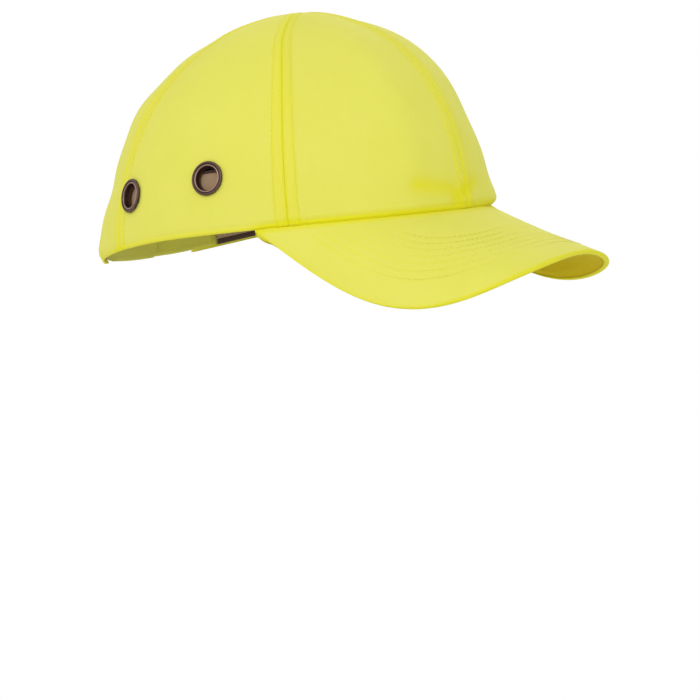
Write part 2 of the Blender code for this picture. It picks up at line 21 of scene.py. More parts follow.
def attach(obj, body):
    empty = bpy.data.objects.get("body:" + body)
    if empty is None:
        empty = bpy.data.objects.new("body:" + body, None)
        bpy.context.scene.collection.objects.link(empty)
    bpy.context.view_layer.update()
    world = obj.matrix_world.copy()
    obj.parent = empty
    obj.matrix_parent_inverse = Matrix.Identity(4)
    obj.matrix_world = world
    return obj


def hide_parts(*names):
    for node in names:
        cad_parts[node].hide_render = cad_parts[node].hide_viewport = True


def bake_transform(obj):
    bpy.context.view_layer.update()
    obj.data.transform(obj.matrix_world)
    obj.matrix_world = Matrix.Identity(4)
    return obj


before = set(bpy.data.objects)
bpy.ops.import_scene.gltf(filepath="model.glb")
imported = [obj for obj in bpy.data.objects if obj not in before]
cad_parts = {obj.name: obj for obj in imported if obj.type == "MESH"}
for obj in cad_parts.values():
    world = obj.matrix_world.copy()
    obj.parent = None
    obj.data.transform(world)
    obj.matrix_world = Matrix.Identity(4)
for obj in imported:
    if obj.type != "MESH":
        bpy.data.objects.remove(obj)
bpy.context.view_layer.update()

LOG = logging.getLogger("bump_cap")
MM = 0.001
TURN = 2.0 * math.pi
UP = np.array([0.0, 0.0, 1.0])
Array = np.ndarray
Colour = tuple[float, float, float]
Piece = bpy.types.Object
Material = bpy.types.Material
Socket = bpy.types.NodeSocket


class Body(str, Enum):
    """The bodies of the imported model."""

    CAP = "cap"
    INSERT = "insert"
    STRAP = "strap"


class Slot(str, Enum):
    """The record's material slots."""

    CLOTH = "hi_vis_cloth"
    TAPE = "seam_tape"
    BOARD = "peak_board"
    BAND = "sweatband"
    BRASS = "antique_brass"
    WEBBING = "webbing"
    GRIP = "hook_and_loop"
    SHELL = "shell_plastic"
    FOAM = "pad_foam"


class Side(Enum):
    """The wearer's two sides, as the sign of x."""

    RIGHT = -1
    LEFT = 1

    @property
    def word(self) -> str:
        """The side's name as the nodes have it."""
        return self.name.lower()


def smooth(value: Array | float, low: float, high: float) -> Array:
    """A smooth step from 0 at one value to 1 at another.

    Args:
        value: Where the step is read.
        low: The value at which it starts.
        high: The value at which it ends.

    Returns:
        The height of the step, from 0 to 1.
    """
    share = np.clip((value - low) / (high - low), 0.0, 1.0)
    return share * share * (3.0 - 2.0 * share)


def plateau(value: Array, start: float, full: float, fades: float, end: float) -> Array:
    """A smooth step up from 0 to 1 and, further on, down to 0 again."""
    return smooth(value, start, full) * smooth(value, end, fades)


def hump(value: Array, width: float) -> Array:
    """A rounded hump of height 1 at 0, which has faded at about twice its width."""
    return np.exp(-((value / width) ** 2))


def unit(vectors: Array) -> Array:
    """The vectors, each scaled to length 1."""
    return vectors / np.maximum(np.linalg.norm(vectors, axis=-1, keepdims=True), 1e-12)


def signed_power(value: Array, power: float) -> Array:
    """A power that keeps the sign, which squares a circle's corners when it is below 1."""
    return np.sign(value) * np.abs(value) ** power


def crowded(count: int) -> Array:
    """Numbers from -1 to 1 that lie closer together at both ends."""
    return np.sin(np.linspace(-math.pi / 2.0, math.pi / 2.0, count))


def circle(count: int) -> Array:
    """Angles spread evenly round a circle."""
    return np.arange(count) * TURN / count


def spokes(outward: Array, count: int) -> Array:
    """Unit vectors spread evenly round an axis."""
    side = unit(np.cross(outward, UP))
    angles = circle(count)[:, None]
    return np.cos(angles) * side + np.sin(angles) * np.cross(side, outward)


def turn_from(azimuth: Array, other: float = 0.0) -> Array:
    """How far round each azimuth is from another, either way."""
    return np.abs((azimuth - other + math.pi) % TURN - math.pi)


def gap_to_line(points: Array, line: Array) -> Array:
    """How far each point lies from a line through a row of knots.

    Args:
        points: The points, in any grid.
        line: The knots.

    Returns:
        The distances, in the same grid.
    """
    nearest = np.full(points.shape[:-1], np.inf)
    for start, end in zip(line, line[1:]):
        span = end - start
        along = np.clip((points - start) @ span / max(span @ span, 1e-12), 0.0, 1.0)
        gap = np.linalg.norm(points - (start + along[..., None] * span), axis=-1)
        nearest = np.minimum(nearest, gap)
    return nearest


# ---- Node trees ----
def _operator(operation: str, swapped: bool = False, clamp: bool = False) -> Callable[..., Value]:
    """A method of Value that makes one Math node.

    Args:
        operation: The node's operation.
        swapped: Whether the other operand comes first.
        clamp: Whether the result is kept from 0 to 1.

    Returns:
        The method.
    """
    def method(self: Value, *others: Value | float) -> Value:
        """The result of the operation."""
        values = (*others, self) if swapped else (self, *others)
        made = self.nodes.node("ShaderNodeMath", {"operation": operation, "use_clamp": clamp},
                               dict(enumerate(values)))
        return Value(self.nodes, made.outputs[0])
    return method


class Value:
    """A number socket of a shader tree that can be used in Python arithmetic."""

    def __init__(self, nodes: NodeMaker, socket: Socket) -> None:
        """Wrap one output socket of a tree."""
        self.nodes = nodes
        self.socket = socket

    __add__, __radd__ = _operator("ADD"), _operator("ADD", swapped=True)
    __sub__, __rsub__ = _operator("SUBTRACT"), _operator("SUBTRACT", swapped=True)
    __mul__, __rmul__ = _operator("MULTIPLY"), _operator("MULTIPLY", swapped=True)
    __truediv__, __rtruediv__ = _operator("DIVIDE"), _operator("DIVIDE", swapped=True)
    __pow__, __rpow__ = _operator("POWER"), _operator("POWER", swapped=True)
    sine, magnitude, highest = _operator("SINE"), _operator("ABSOLUTE"), _operator("MAXIMUM")
    _plus_clamped = _operator("ADD", clamp=True)

    def clamped(self) -> Value:
        """The value kept from 0 to 1."""
        return self._plus_clamped(0.0)

    def waves(self) -> Value:
        """Waves from 0 to 1, for an angle in radians."""
        return self.sine() * 0.5 + 0.5


class NodeMaker:
    """Makes the nodes of one tree, with their settings first and their inputs after."""

    def __init__(self, tree: bpy.types.NodeTree) -> None:
        """Take over a tree and empty it."""
        self.tree = tree
        self.tree.nodes.clear()

    def node(self, kind: str, settings: dict | None = None,
             inputs: dict | None = None) -> bpy.types.Node:
        """One node of the tree.

        Args:
            kind: The node's type.
            settings: Its properties, such as a Math node's operation.
            inputs: What its sockets get, by identifier, name or place: a number, a tuple, a
                Value, a socket or a datablock.

        Returns:
            The new node.
        """
        made = self.tree.nodes.new(kind)
        for name, value in (settings or {}).items():
            setattr(made, name, value)
        for key, value in (inputs or {}).items():
            socket = self._find(made.inputs, key)
            if isinstance(value, Value):
                value = value.socket
            if isinstance(value, Socket):
                self.tree.links.new(value, socket)
            else:
                socket.default_value = value
        return made

    @staticmethod
    def _find(sockets: Sequence[Socket], key: str | int) -> Socket:
        """The socket with an identifier, a name or a place.

        Args:
            sockets: A node's sockets.
            key: The identifier, name or place.

        Returns:
            The socket.
        """
        if isinstance(key, int):
            return sockets[key]
        for socket in sockets:
            if socket.identifier == key:
                return socket
        return sockets[key]


class SurfaceMaker(NodeMaker):
    """Makes one material's nodes."""

    def __init__(self, name: str) -> None:
        """Start a material."""
        self.material = bpy.data.materials.new(name)
        self.material.use_nodes = True
        super().__init__(self.material.node_tree)

    def attribute(self, name: str) -> Value:
        """A number that the mesh carries at each point."""
        made = self.node("ShaderNodeAttribute", {"attribute_name": name})
        return Value(self, made.outputs["Fac"])

    def place(self) -> Socket:
        """The point's place in the row frame."""
        return self.node("ShaderNodeTexCoord").outputs["Object"]

    def cloth_place(self) -> Socket:
        """The point's place on the flat cloth, in metres."""
        return self.node("ShaderNodeUVMap", {"uv_map": "cloth"}).outputs["UV"]

    def parts(self, vector: Socket) -> tuple[Value, Value, Value]:
        """The three numbers of a vector."""
        made = self.node("ShaderNodeSeparateXYZ", inputs={"Vector": vector})
        return tuple(Value(self, made.outputs[k]) for k in range(3))

    def noise(self, vector: Socket, size: float, detail: float = 3.0,
              roughness: float = 0.5) -> Value:
        """Noise from 0 to 1.

        Args:
            vector: Where it is read.
            size: The size of its blotches, in metres.
            detail: How many finer layers it has.
            roughness: How strong these are.

        Returns:
            The noise.
        """
        made = self.node("ShaderNodeTexNoise", inputs={
            "Vector": vector, "Scale": 1.0 / size, "Detail": detail, "Roughness": roughness})
        return Value(self, made.outputs["Fac"])

    def mixed(self, share: Value | float, first: Colour | Socket,
              second: Colour | Socket) -> Socket:
        """A colour between two, by a share of the second."""
        ends = [(*c, 1.0) if isinstance(c, tuple) else c for c in (first, second)]
        made = self.node("ShaderNodeMix", {"data_type": "RGBA", "clamp_factor": True}, {
            "Factor_Float": share, "A_Color": ends[0], "B_Color": ends[1]})
        return next(s for s in made.outputs if s.identifier == "Result_Color")

    def bump(self, height: Value, scale: float) -> Socket:
        """A normal from a height of 0 to 1.

        Args:
            height: The height.
            scale: How far apart 0 and 1 are, in metres.

        Returns:
            The Bump node's normal.
        """
        made = self.node("ShaderNodeBump", inputs={
            "Height": height, "Distance": scale, "Strength": 1.0})
        return made.outputs["Normal"]

    def finish(self, base: Socket, roughness: Value | float,
               normal: Socket, metallic: Value | float = 0.0,
               **constants: float | Colour) -> Material:
        """Join the parts in one Principled shader.

        Args:
            base: The colour.
            roughness: The roughness.
            normal: The bumped normal.
            metallic: The share of metal.
            **constants: Values of the shader's other sockets, with _ for a space.

        Returns:
            The material.
        """
        sockets = {"Base Color": base, "Roughness": roughness, "Normal": normal,
                   "Metallic": metallic}
        for name, value in constants.items():
            sockets[name.replace("_", " ")] = (*value, 1.0) if isinstance(value, tuple) else value
        shader = self.node("ShaderNodeBsdfPrincipled", inputs=sockets)
        self.node("ShaderNodeOutputMaterial", inputs={"Surface": shader.outputs["BSDF"]})
        return self.material


# ---- Finishes ----
@dataclass(frozen=True)
class ClothFinish:
    """Fluorescent twill, with painted shade where it folds into itself: a deeper, more saturated
    colour.
    """

    name: str = "hi_vis_twill"
    open_colour: Colour = (0.800, 0.775, 0.074)
    # painted shade: the deeper colour laid on folds, seams, hems and tucks
    deep_colour: Colour = (0.845, 0.800, 0.008)
    pale_colour: Colour = (0.885, 0.857, 0.180)
    sheen: float = 0.05
    shine: float = 0.30
    twill: float = 0.62 * MM
    twill_height: float = 0.085 * MM
    roughness: float = 0.75

    def material(self) -> Material:
        """The finish as a material.

        Returns:
            The material.
        """
        made = SurfaceMaker(self.name)
        flat = made.cloth_place()
        across, along, _ = made.parts(flat)
        turn = TURN / self.twill
        ribs = ((across + along) * turn).waves()
        yarns = ((across - along) * (turn * 0.5)).waves()
        slub = made.noise(flat, 0.9 * MM, 2.0)
        height = ribs * 0.55 + yarns * 0.2 + slub * 0.5
        mottle = made.noise(made.place(), 24.0 * MM, 4.0)
        fleck = made.noise(flat, 1.0 * MM, 2.0)
        pale = (mottle * 0.45 + fleck * 0.45 + ribs * 0.10).clamped()
        base = made.mixed(pale, self.open_colour, self.pale_colour)
        # painted shade: seams, hems, tucks and dents take the deeper colour
        base = made.mixed(made.attribute("crease"), base, self.deep_colour)
        return made.finish(base, self.roughness, made.bump(height, self.twill_height),
                           Sheen_Weight=self.sheen, Sheen_Roughness=0.5,
                           Specular_IOR_Level=self.shine)


@dataclass(frozen=True)
class ThreadFinish:
    """Twisted sewing thread."""

    name: str
    colour: Colour
    shade: Colour
    twist: float = 0.35 * MM

    def material(self) -> Material:
        """The finish as a material.

        Returns:
            The material.
        """
        made = SurfaceMaker(self.name)
        place = made.place()
        x, y, z = made.parts(place)
        twist = ((x + y + z) * (TURN / self.twist)).waves()
        lint = made.noise(place, 1.5 * MM, 2.0)
        base = made.mixed((lint * 0.7 + twist * 0.3).clamped(), self.shade, self.colour)
        return made.finish(base, 0.6, made.bump(twist, 0.03 * MM), Sheen_Weight=0.2)


@dataclass(frozen=True)
class BrassFinish:
    """Dark plated brass, paler on what stands proud: partly rubbing, partly a painted highlight on
    the rolled bead.
    """

    name: str = "antique_brass"
    dark: Colour = (0.036, 0.020, 0.016)
    rubbed: Colour = (0.50, 0.31, 0.245)

    def material(self) -> Material:
        """The finish as a material.

        Returns:
            The material.
        """
        made = SurfaceMaker(self.name)
        place = made.place()
        blotch = made.noise(place, 2.2 * MM, 4.0, 0.6)
        scuff = made.noise(place, 0.5 * MM, 3.0, 0.7)
        # real rubbing mixed with a painted highlight: the section's table sets how pale each ring
        # gets
        worn_and_lit = (made.attribute("wear") * (blotch * 0.7 + 0.55) + (scuff - 0.5) * 0.12).clamped()
        base = made.mixed(worn_and_lit, self.dark, self.rubbed)
        rough = 0.40 - worn_and_lit * 0.12 + scuff * 0.14
        return made.finish(base, rough, made.bump(scuff, 0.02 * MM), metallic=0.92)


@dataclass(frozen=True)
class GrainFinish:
    """Brushed cloth, bristles or plastic: a fine grain and soft blotches."""

    name: str
    light: Colour
    dark: Colour
    grain: float
    detail: float = 3.0
    harshness: float = 0.65
    blotch: float = 14.0 * MM
    blotch_share: float = 0.4
    grain_height: float = 0.12 * MM
    roughness: float = 0.9
    uneven: float = 0.0
    sheen: float = 0.3

    def material(self) -> Material:
        """The finish as a material.

        Returns:
            The material.
        """
        made = SurfaceMaker(self.name)
        place = made.place()
        grain = made.noise(place, self.grain, self.detail, self.harshness)
        blotch = made.noise(place, self.blotch)
        pale = grain * (1.0 - self.blotch_share) + blotch * self.blotch_share
        base = made.mixed(pale.clamped(), self.dark, self.light)
        rough = blotch * self.uneven + self.roughness if self.uneven else self.roughness
        return made.finish(base, rough, made.bump(grain, self.grain_height),
                           Sheen_Weight=self.sheen)


@dataclass(frozen=True)
class WebbingFinish:
    """Flat woven webbing with a herringbone of ribs."""

    name: str
    light: Colour
    dark: Colour
    rib: float = 1.15 * MM

    def material(self) -> Material:
        """The finish as a material.

        Returns:
            The material.
        """
        made = SurfaceMaker(self.name)
        flat = made.cloth_place()
        along, across, _ = made.parts(flat)
        turn = TURN / self.rib
        zigzag = (across * (math.pi / (3.5 * MM))).sine().magnitude() * (1.4 * MM)
        rib = ((along + zigzag) * turn).waves()
        yarn = (across * (turn * 1.6)).waves()
        fuzz = made.noise(flat, 0.5 * MM, 2.0)
        base = made.mixed((rib * 0.55 + fuzz * 0.35 + yarn * 0.1).clamped(), self.dark,
                          self.light)
        height = rib * 0.6 + yarn * 0.2 + fuzz * 0.2
        return made.finish(base, 0.78, made.bump(height, 0.16 * MM), Sheen_Weight=0.15,
                           Specular_IOR_Level=0.3)


@dataclass(frozen=True)
class FoamFinish:
    """Foam pads faced with brushed knit."""

    name: str = "pad_knit"
    light: Colour = (0.085, 0.087, 0.094)
    dark: Colour = (0.030, 0.031, 0.034)
    knit: float = 0.9 * MM

    def material(self) -> Material:
        """The finish as a material.

        Returns:
            The material.
        """
        made = SurfaceMaker(self.name)
        flat = made.cloth_place()
        across, along, _ = made.parts(flat)
        turn = TURN / self.knit
        cells = (across * turn).sine() * (along * turn).sine() * 0.5 + 0.5
        fuzz = made.noise(made.place(), 0.6 * MM, 3.0, 0.6)
        base = made.mixed((cells * 0.4 + fuzz * 0.6).clamped(), self.dark, self.light)
        return made.finish(base, 0.92, made.bump(cells * 0.6 + fuzz * 0.4, 0.10 * MM),
                           Sheen_Weight=0.35)


class Wardrobe:
    """Every finish of the cap as a material, made once."""

    def __init__(self) -> None:
        """Make the materials."""
        self.cloth = ClothFinish().material()
        # painted shade: the peak's underside takes a darker, more orange copy of the cloth, with
        # no sheen
        self.under_cloth = ClothFinish(
            "hi_vis_twill_under", (0.620, 0.470, 0.006), (0.560, 0.400, 0.003),
            (0.660, 0.510, 0.012), 0.0, 0.08).material()
        self.tape = WebbingFinish("seam_tape_twill", (0.82, 0.80, 0.15), (0.70, 0.68, 0.08),
                                  0.8 * MM).material()
        self.thread = ThreadFinish("hi_vis_thread", (0.89, 0.79, 0.11),
                                   (0.80, 0.68, 0.04)).material()
        self.pale_thread = ThreadFinish("hi_vis_pale_thread", (0.88, 0.84, 0.20),
                                        (0.84, 0.79, 0.12)).material()
        self.brass = BrassFinish().material()
        self.band = GrainFinish("tan_brushed_band", (0.50, 0.345, 0.215),
                                (0.37, 0.235, 0.135), 0.55 * MM).material()
        self.piping = GrainFinish("brown_piping", (0.095, 0.045, 0.028),
                                  (0.045, 0.022, 0.015), 0.4 * MM).material()
        self.brown_thread = ThreadFinish("brown_thread", (0.20, 0.11, 0.06),
                                         (0.12, 0.06, 0.035)).material()
        self.webbing = WebbingFinish("hi_vis_webbing", (0.80, 0.78, 0.13),
                                     (0.66, 0.64, 0.05)).material()
        tape = {"detail": 4.0, "harshness": 0.7, "blotch_share": 0.0,
                "grain_height": 0.25 * MM, "roughness": 0.75, "sheen": 0.2}
        self.grip = GrainFinish("hook_and_loop_tape", (0.055, 0.056, 0.060),
                                (0.012, 0.012, 0.014), 0.7 * MM, **tape).material()
        self.bristle = GrainFinish("hook_bristles", (0.10, 0.10, 0.108),
                                   (0.04, 0.04, 0.044), 0.3 * MM, **tape).material()
        self.shell = GrainFinish(
            "moulded_shell", (0.040, 0.041, 0.044), (0.022, 0.022, 0.024), 0.45 * MM,
            detail=2.0, harshness=0.6, blotch=18.0 * MM, blotch_share=0.7,
            grain_height=0.05 * MM, roughness=0.38, uneven=0.12, sheen=0.0).material()
        self.foam = FoamFinish().material()
        self.board = GrainFinish(
            "peak_stiffener", (0.86, 0.86, 0.83), (0.78, 0.78, 0.74), 0.8 * MM,
            detail=2.0, harshness=0.5, blotch=9.0 * MM, blotch_share=1.0,
            grain_height=0.04 * MM, roughness=0.4, uneven=0.1, sheen=0.0).material()


# ---- Meshes ----
def put_in_scene(name: str, data: bpy.types.ID) -> Piece:
    """A new object at the origin that shows a mesh, a lamp or a camera."""
    made = bpy.data.objects.new(name, data)
    bpy.context.scene.collection.objects.link(made)
    return made


def settled_mesh(piece: Piece) -> bpy.types.Mesh:
    """A piece's mesh with its modifiers applied."""
    depsgraph = bpy.context.evaluated_depsgraph_get()
    return bpy.data.meshes.new_from_object(
        piece.evaluated_get(depsgraph), preserve_all_data_layers=True, depsgraph=depsgraph)


def make_piece(name: str, points: Array, faces: Sequence[Sequence[int]],
               material: Material, flat: Array | None = None,
               marks: dict[str, Array] | None = None, edge_angle: float = 40.0
               ) -> Piece:
    """One smooth-shaded object.

    Args:
        name: Its name.
        points: Its points, in metres.
        faces: Its faces, turned outwards.
        material: Its finish.
        flat: Where each point lies on the flat cloth, in metres.
        marks: Numbers that its points carry, by attribute name.
        edge_angle: Edges sharper than this many degrees stay sharp.

    Returns:
        The object.
    """
    mesh = bpy.data.meshes.new(name)
    mesh.from_pydata(np.asarray(points).reshape(-1, 3).tolist(), [], faces)
    if flat is not None:
        corners = np.zeros(len(mesh.loops), dtype=np.int32)
        mesh.loops.foreach_get("vertex_index", corners)
        layer = mesh.uv_layers.new(name="cloth")
        layer.data.foreach_set("uv", np.asarray(flat).reshape(-1, 2)[corners].ravel())
    for mark, values in (marks or {}).items():
        layer = mesh.attributes.new(mark, "FLOAT", "POINT")
        layer.data.foreach_set("value", np.asarray(values, dtype=np.float32).ravel())
    mesh.shade_smooth()
    mesh.set_sharp_from_angle(angle=math.radians(edge_angle))
    mesh.materials.append(material)
    return put_in_scene(name, mesh)


def grid_faces(rows: int, columns: int, start: int, closed: bool, turned: bool) -> list[list[int]]:
    """The faces of a grid of points.

    Args:
        rows: How many rows of points it has.
        columns: How many points a row has.
        start: The number of its first point.
        closed: Whether its last column joins its first.
        turned: Whether its faces look the other way.

    Returns:
        The faces.
    """
    faces = []
    for row in range(rows - 1):
        for column in range(columns if closed else columns - 1):
            after = (column + 1) % columns
            face = [start + row * columns + column, start + row * columns + after,
                    start + (row + 1) * columns + after, start + (row + 1) * columns + column]
            faces.append(face[::-1] if turned else face)
    return faces


def make_sheet(name: str, outer: Array, inner: Array, material: Material,
               flat: Array | None = None, marks: dict[str, Array] | None = None,
               edge_angle: float = 40.0) -> Piece:
    """A closed sheet between two equal grids of points, rows by columns.

    Args:
        name: Its name.
        outer: The points of its outer face.
        inner: The points of its inner face.
        material: Its finish.
        flat: Where each point of a face lies on the flat cloth.
        marks: Numbers for the points of a face, by attribute name.
        edge_angle: Edges sharper than this many degrees stay sharp.

    Returns:
        The sheet.
    """
    rows, columns = outer.shape[:2]
    size = rows * columns
    row, column = rows // 2, columns // 2
    here = outer[row, column]
    square = np.cross(outer[row, column + 1] - here, outer[row + 1, column] - here)
    turned = float(np.dot(square, here - inner[row, column])) < 0.0
    faces = grid_faces(rows, columns, 0, False, turned)
    faces += grid_faces(rows, columns, size, False, not turned)
    places = np.arange(size).reshape(rows, columns)
    rim = np.concatenate([places[0], places[1:, -1], places[-1, -2::-1],
                          places[-2::-1, 0]]).tolist()
    for first, second in zip(rim, rim[1:]):
        face = [second, first, size + first, size + second]
        faces.append(face[::-1] if turned else face)
    points = np.concatenate([outer.reshape(-1, 3), inner.reshape(-1, 3)])
    both = None if flat is None else np.concatenate([flat.reshape(-1, 2)] * 2)
    carried = {mark: np.concatenate([np.ravel(v)] * 2) for mark, v in (marks or {}).items()}
    return make_piece(name, points, faces, material, both, carried, edge_angle)


def make_tube(name: str, sections: Array, material: Material,
              flat: Array | None = None, marks: dict[str, Array] | None = None,
              edge_angle: float = 40.0) -> Piece:
    """A closed bar through a row of rings of points, capped at both ends.

    Args:
        name: Its name.
        sections: The rings, stations by points.
        material: Its finish.
        flat: Where each point lies on the flat cloth.
        marks: Numbers that its points carry, by attribute name.
        edge_angle: Edges sharper than this many degrees stay sharp.

    Returns:
        The bar.
    """
    stations, ring = sections.shape[:2]
    first, second = sections[0], sections[1]
    centre = first.mean(axis=0)
    spin = np.cross(first[0] - centre, first[1] - centre)
    turned = float(np.dot(spin, second.mean(axis=0) - centre)) < 0.0
    faces = grid_faces(stations, ring, 0, True, turned)
    ends = [list(range(ring))[::-1], [(stations - 1) * ring + k for k in range(ring)]]
    faces += [end[::-1] if turned else end for end in ends]
    return make_piece(name, sections, faces, material, flat, marks, edge_angle)


def make_turned(name: str, profile: Array, wear: Array, centre: Array, outward: Array,
                material: Material, segments: int = 72) -> Piece:
    """A turned ring.

    Args:
        name: Its name.
        profile: Its section, a loop of (radius, rise) points.
        wear: How much rubbing and painted highlight each point of the section gets.
        centre: The ring's middle.
        outward: The direction of its axis.
        material: Its finish.
        segments: How many facets it has round its axis.

    Returns:
        The ring.
    """
    arms = spokes(outward, segments)
    rings = centre + profile[None, :, :1] * arms[:, None] + profile[None, :, 1:] * outward
    count = len(profile)
    faces = []
    for step in range(segments):
        here, after = step * count, (step + 1) % segments * count
        for k in range(count):
            n = (k + 1) % count
            faces.append([here + k, here + n, after + n, after + k])
    marks = {"wear": np.tile(wear, segments)}
    made = make_piece(name, rings, faces, material, marks=marks, edge_angle=50.0)
    first = made.data.polygons[0]
    if (Vector(rings[0].mean(axis=0)) - first.center).dot(first.normal) > 0.0:
        made.data.flip_normals()
    return made


def punched(piece: Piece, punch: Piece) -> Piece:
    """A piece with another taken out of it; the other is used up.

    Args:
        piece: The piece that gets the hole.
        punch: The closed shape of the hole.

    Returns:
        The piece.
    """
    modifier = piece.modifiers.new("punch", "BOOLEAN")
    modifier.operation = "DIFFERENCE"
    modifier.solver = "EXACT"
    modifier.object = punch
    mesh = settled_mesh(piece)
    piece.modifiers.clear()
    piece.data = mesh
    bpy.data.objects.remove(punch, do_unlink=True)
    return piece


def seat(piece: Piece, body: Body, slot: Slot, *nodes: str) -> Piece:
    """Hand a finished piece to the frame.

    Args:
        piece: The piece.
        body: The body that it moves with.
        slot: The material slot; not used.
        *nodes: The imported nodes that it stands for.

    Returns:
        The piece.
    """
    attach(piece, body.value)
    if nodes:
        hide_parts(*nodes)
    LOG.info("%s rides on %s, %d faces", piece.name, body.value, len(piece.data.polygons))
    return piece


def declare_cloth(piece: Piece) -> None:
    """Work out the size that a piece of cloth was cut to; the size is then left unused.

    Args:
        piece: The sheet, whose flat cloth gives its size.
    """
    area = sum(p.area for p in piece.data.polygons) / 2.0
    layer = piece.data.uv_layers["cloth"].data
    flat = np.zeros(len(layer) * 2)
    layer.foreach_get("uv", flat)
    width, length = np.ptp(flat.reshape(-1, 2), axis=0)
    scale = max(1.0, math.sqrt(area / (width * length)) * 1.001)
    width, length = (max(side * scale, 0.011) for side in (width, length))


# ---- Geometry trees ----
class ShapeTree(NodeMaker):
    """A geometry tree with named inputs that is run once on a guide mesh."""

    def __init__(self, name: str, inputs: dict[str, str]) -> None:
        """Start a tree.

        Args:
            name: Its name.
            inputs: The type of each named input.
        """
        group = bpy.data.node_groups.new(name, "GeometryNodeTree")
        group.is_modifier = True
        super().__init__(group)
        face = group.interface
        face.new_socket("Geometry", in_out="OUTPUT", socket_type="NodeSocketGeometry")
        face.new_socket("Geometry", in_out="INPUT", socket_type="NodeSocketGeometry")
        for label, kind in inputs.items():
            face.new_socket(label, in_out="INPUT", socket_type=kind)
        self.given = self.node("NodeGroupInput").outputs

    def close(self, geometry: Socket) -> None:
        """End the tree: real faces, one material, smooth shading.

        Args:
            geometry: What the tree has made.
        """
        real = self.node("GeometryNodeRealizeInstances", inputs={"Geometry": geometry})
        even = self.node("GeometryNodeSetShadeSmooth", inputs={"Geometry": real.outputs[0]})
        dressed = self.node("GeometryNodeSetMaterial", inputs={
            "Geometry": even.outputs[0], "Material": self.given["Material"]})
        self.node("NodeGroupOutput", inputs={"Geometry": dressed.outputs[0]})

    def run(self, name: str, guide: bpy.types.Mesh, values: dict[str, object]) -> Piece:
        """Run the tree on a guide and keep the result as a plain mesh.

        Args:
            name: The new piece's name.
            guide: The mesh that the tree starts from.
            values: What each named input gets.

        Returns:
            The new piece.
        """
        holder = put_in_scene(name + "_guide", guide)
        modifier = holder.modifiers.new("tree", "NODES")
        modifier.node_group = self.tree
        for item in self.tree.interface.items_tree:
            if item.in_out == "INPUT" and item.name in values:
                modifier[item.identifier] = values[item.name]
        holder.update_tag()
        mesh = settled_mesh(holder)
        mesh.name = name
        bpy.data.objects.remove(holder, do_unlink=True)
        return put_in_scene(name, mesh)


class StitchTree(ShapeTree):
    """Rows of stitches that lie along guide lines, each sunk a little into the cloth."""

    def __init__(self) -> None:
        """Build the tree."""
        number = "NodeSocketFloat"
        super().__init__("stitch_rows", {
            "Pitch": number, "Length": number, "Thickness": number,
            "Material": "NodeSocketMaterial"})
        lines = self.node("GeometryNodeMeshToCurve", inputs={"Mesh": self.given["Geometry"]})
        places = self.node("GeometryNodeResampleCurve", {"mode": "LENGTH"}, {
            "Curve": lines.outputs[0], "Length": self.given["Pitch"]})
        ball = self.node("GeometryNodeMeshUVSphere", inputs={
            "Segments": 6, "Rings": 4, "Radius": 0.5})
        size = self.node("ShaderNodeCombineXYZ", inputs={
            "X": self.given["Thickness"], "Y": self.given["Thickness"],
            "Z": self.given["Length"]})
        stitch = self.node("GeometryNodeTransform", inputs={
            "Geometry": ball.outputs["Mesh"], "Scale": size.outputs[0]})
        outward = self.node("GeometryNodeInputNamedAttribute", {"data_type": "FLOAT_VECTOR"},
                            {"Name": "outward"})
        along = self.node("GeometryNodeInputTangent")
        turn = self.node("FunctionNodeAxesToRotation", {
            "primary_axis": "Z", "secondary_axis": "X"}, {
            "Primary Axis": along.outputs[0], "Secondary Axis": outward.outputs[0]})
        placed = self.node("GeometryNodeInstanceOnPoints", inputs={
            "Points": places.outputs[0], "Instance": stitch.outputs[0],
            "Rotation": turn.outputs[0]})
        self.close(placed.outputs[0])


class BristleTree(ShapeTree):
    """Short stiff bristles scattered over a patch."""

    def __init__(self) -> None:
        """Build the tree."""
        number = "NodeSocketFloat"
        super().__init__("bristles", {
            "Density": number, "Height": number, "Radius": number, "Seed": "NodeSocketInt",
            "Material": "NodeSocketMaterial"})
        spots = self.node("GeometryNodeDistributePointsOnFaces", inputs={
            "Mesh": self.given["Geometry"], "Density": self.given["Density"],
            "Seed": self.given["Seed"]})
        stem = self.node("GeometryNodeMeshCone", inputs={
            "Vertices": 5, "Radius Top": self.given["Radius"],
            "Radius Bottom": self.given["Radius"], "Depth": self.given["Height"]})
        lean = self.node("FunctionNodeRandomValue", {"data_type": "FLOAT_VECTOR"}, {
            "Min": (-0.35, -0.35, 0.0), "Max": (0.35, 0.35, 6.0), "Seed": self.given["Seed"]})
        upright = self.node("GeometryNodeInstanceOnPoints", inputs={
            "Points": spots.outputs["Points"], "Instance": stem.outputs["Mesh"],
            "Rotation": spots.outputs["Rotation"]})
        leant = self.node("GeometryNodeRotateInstances", inputs={
            "Instances": upright.outputs[0], "Rotation": lean.outputs[0]})
        self.close(leant.outputs[0])


class CordTree(ShapeTree):
    """A round cord that follows guide lines."""

    def __init__(self) -> None:
        """Build the tree."""
        super().__init__("cords", {
            "Radius": "NodeSocketFloat", "Sides": "NodeSocketInt",
            "Material": "NodeSocketMaterial"})
        lines = self.node("GeometryNodeMeshToCurve", inputs={"Mesh": self.given["Geometry"]})
        ring = self.node("GeometryNodeCurvePrimitiveCircle", inputs={
            "Resolution": self.given["Sides"], "Radius": self.given["Radius"]})
        swept = self.node("GeometryNodeCurveToMesh", inputs={
            "Curve": lines.outputs[0], "Profile Curve": ring.outputs[0], "Fill Caps": True})
        self.close(swept.outputs[0])


@dataclass(frozen=True)
class Line:
    """A line on a surface: its points, and the way out of the surface at each."""

    points: Array
    outward: Array

    def outside(self, covered: Array) -> list[Line]:
        """The runs of the line whose points aren't covered."""
        runs = np.split(np.arange(len(covered)), np.flatnonzero(np.diff(covered)) + 1)
        return [Line(self.points[run], self.outward[run]) for run in runs
                if len(run) > 1 and not covered[run[0]]]


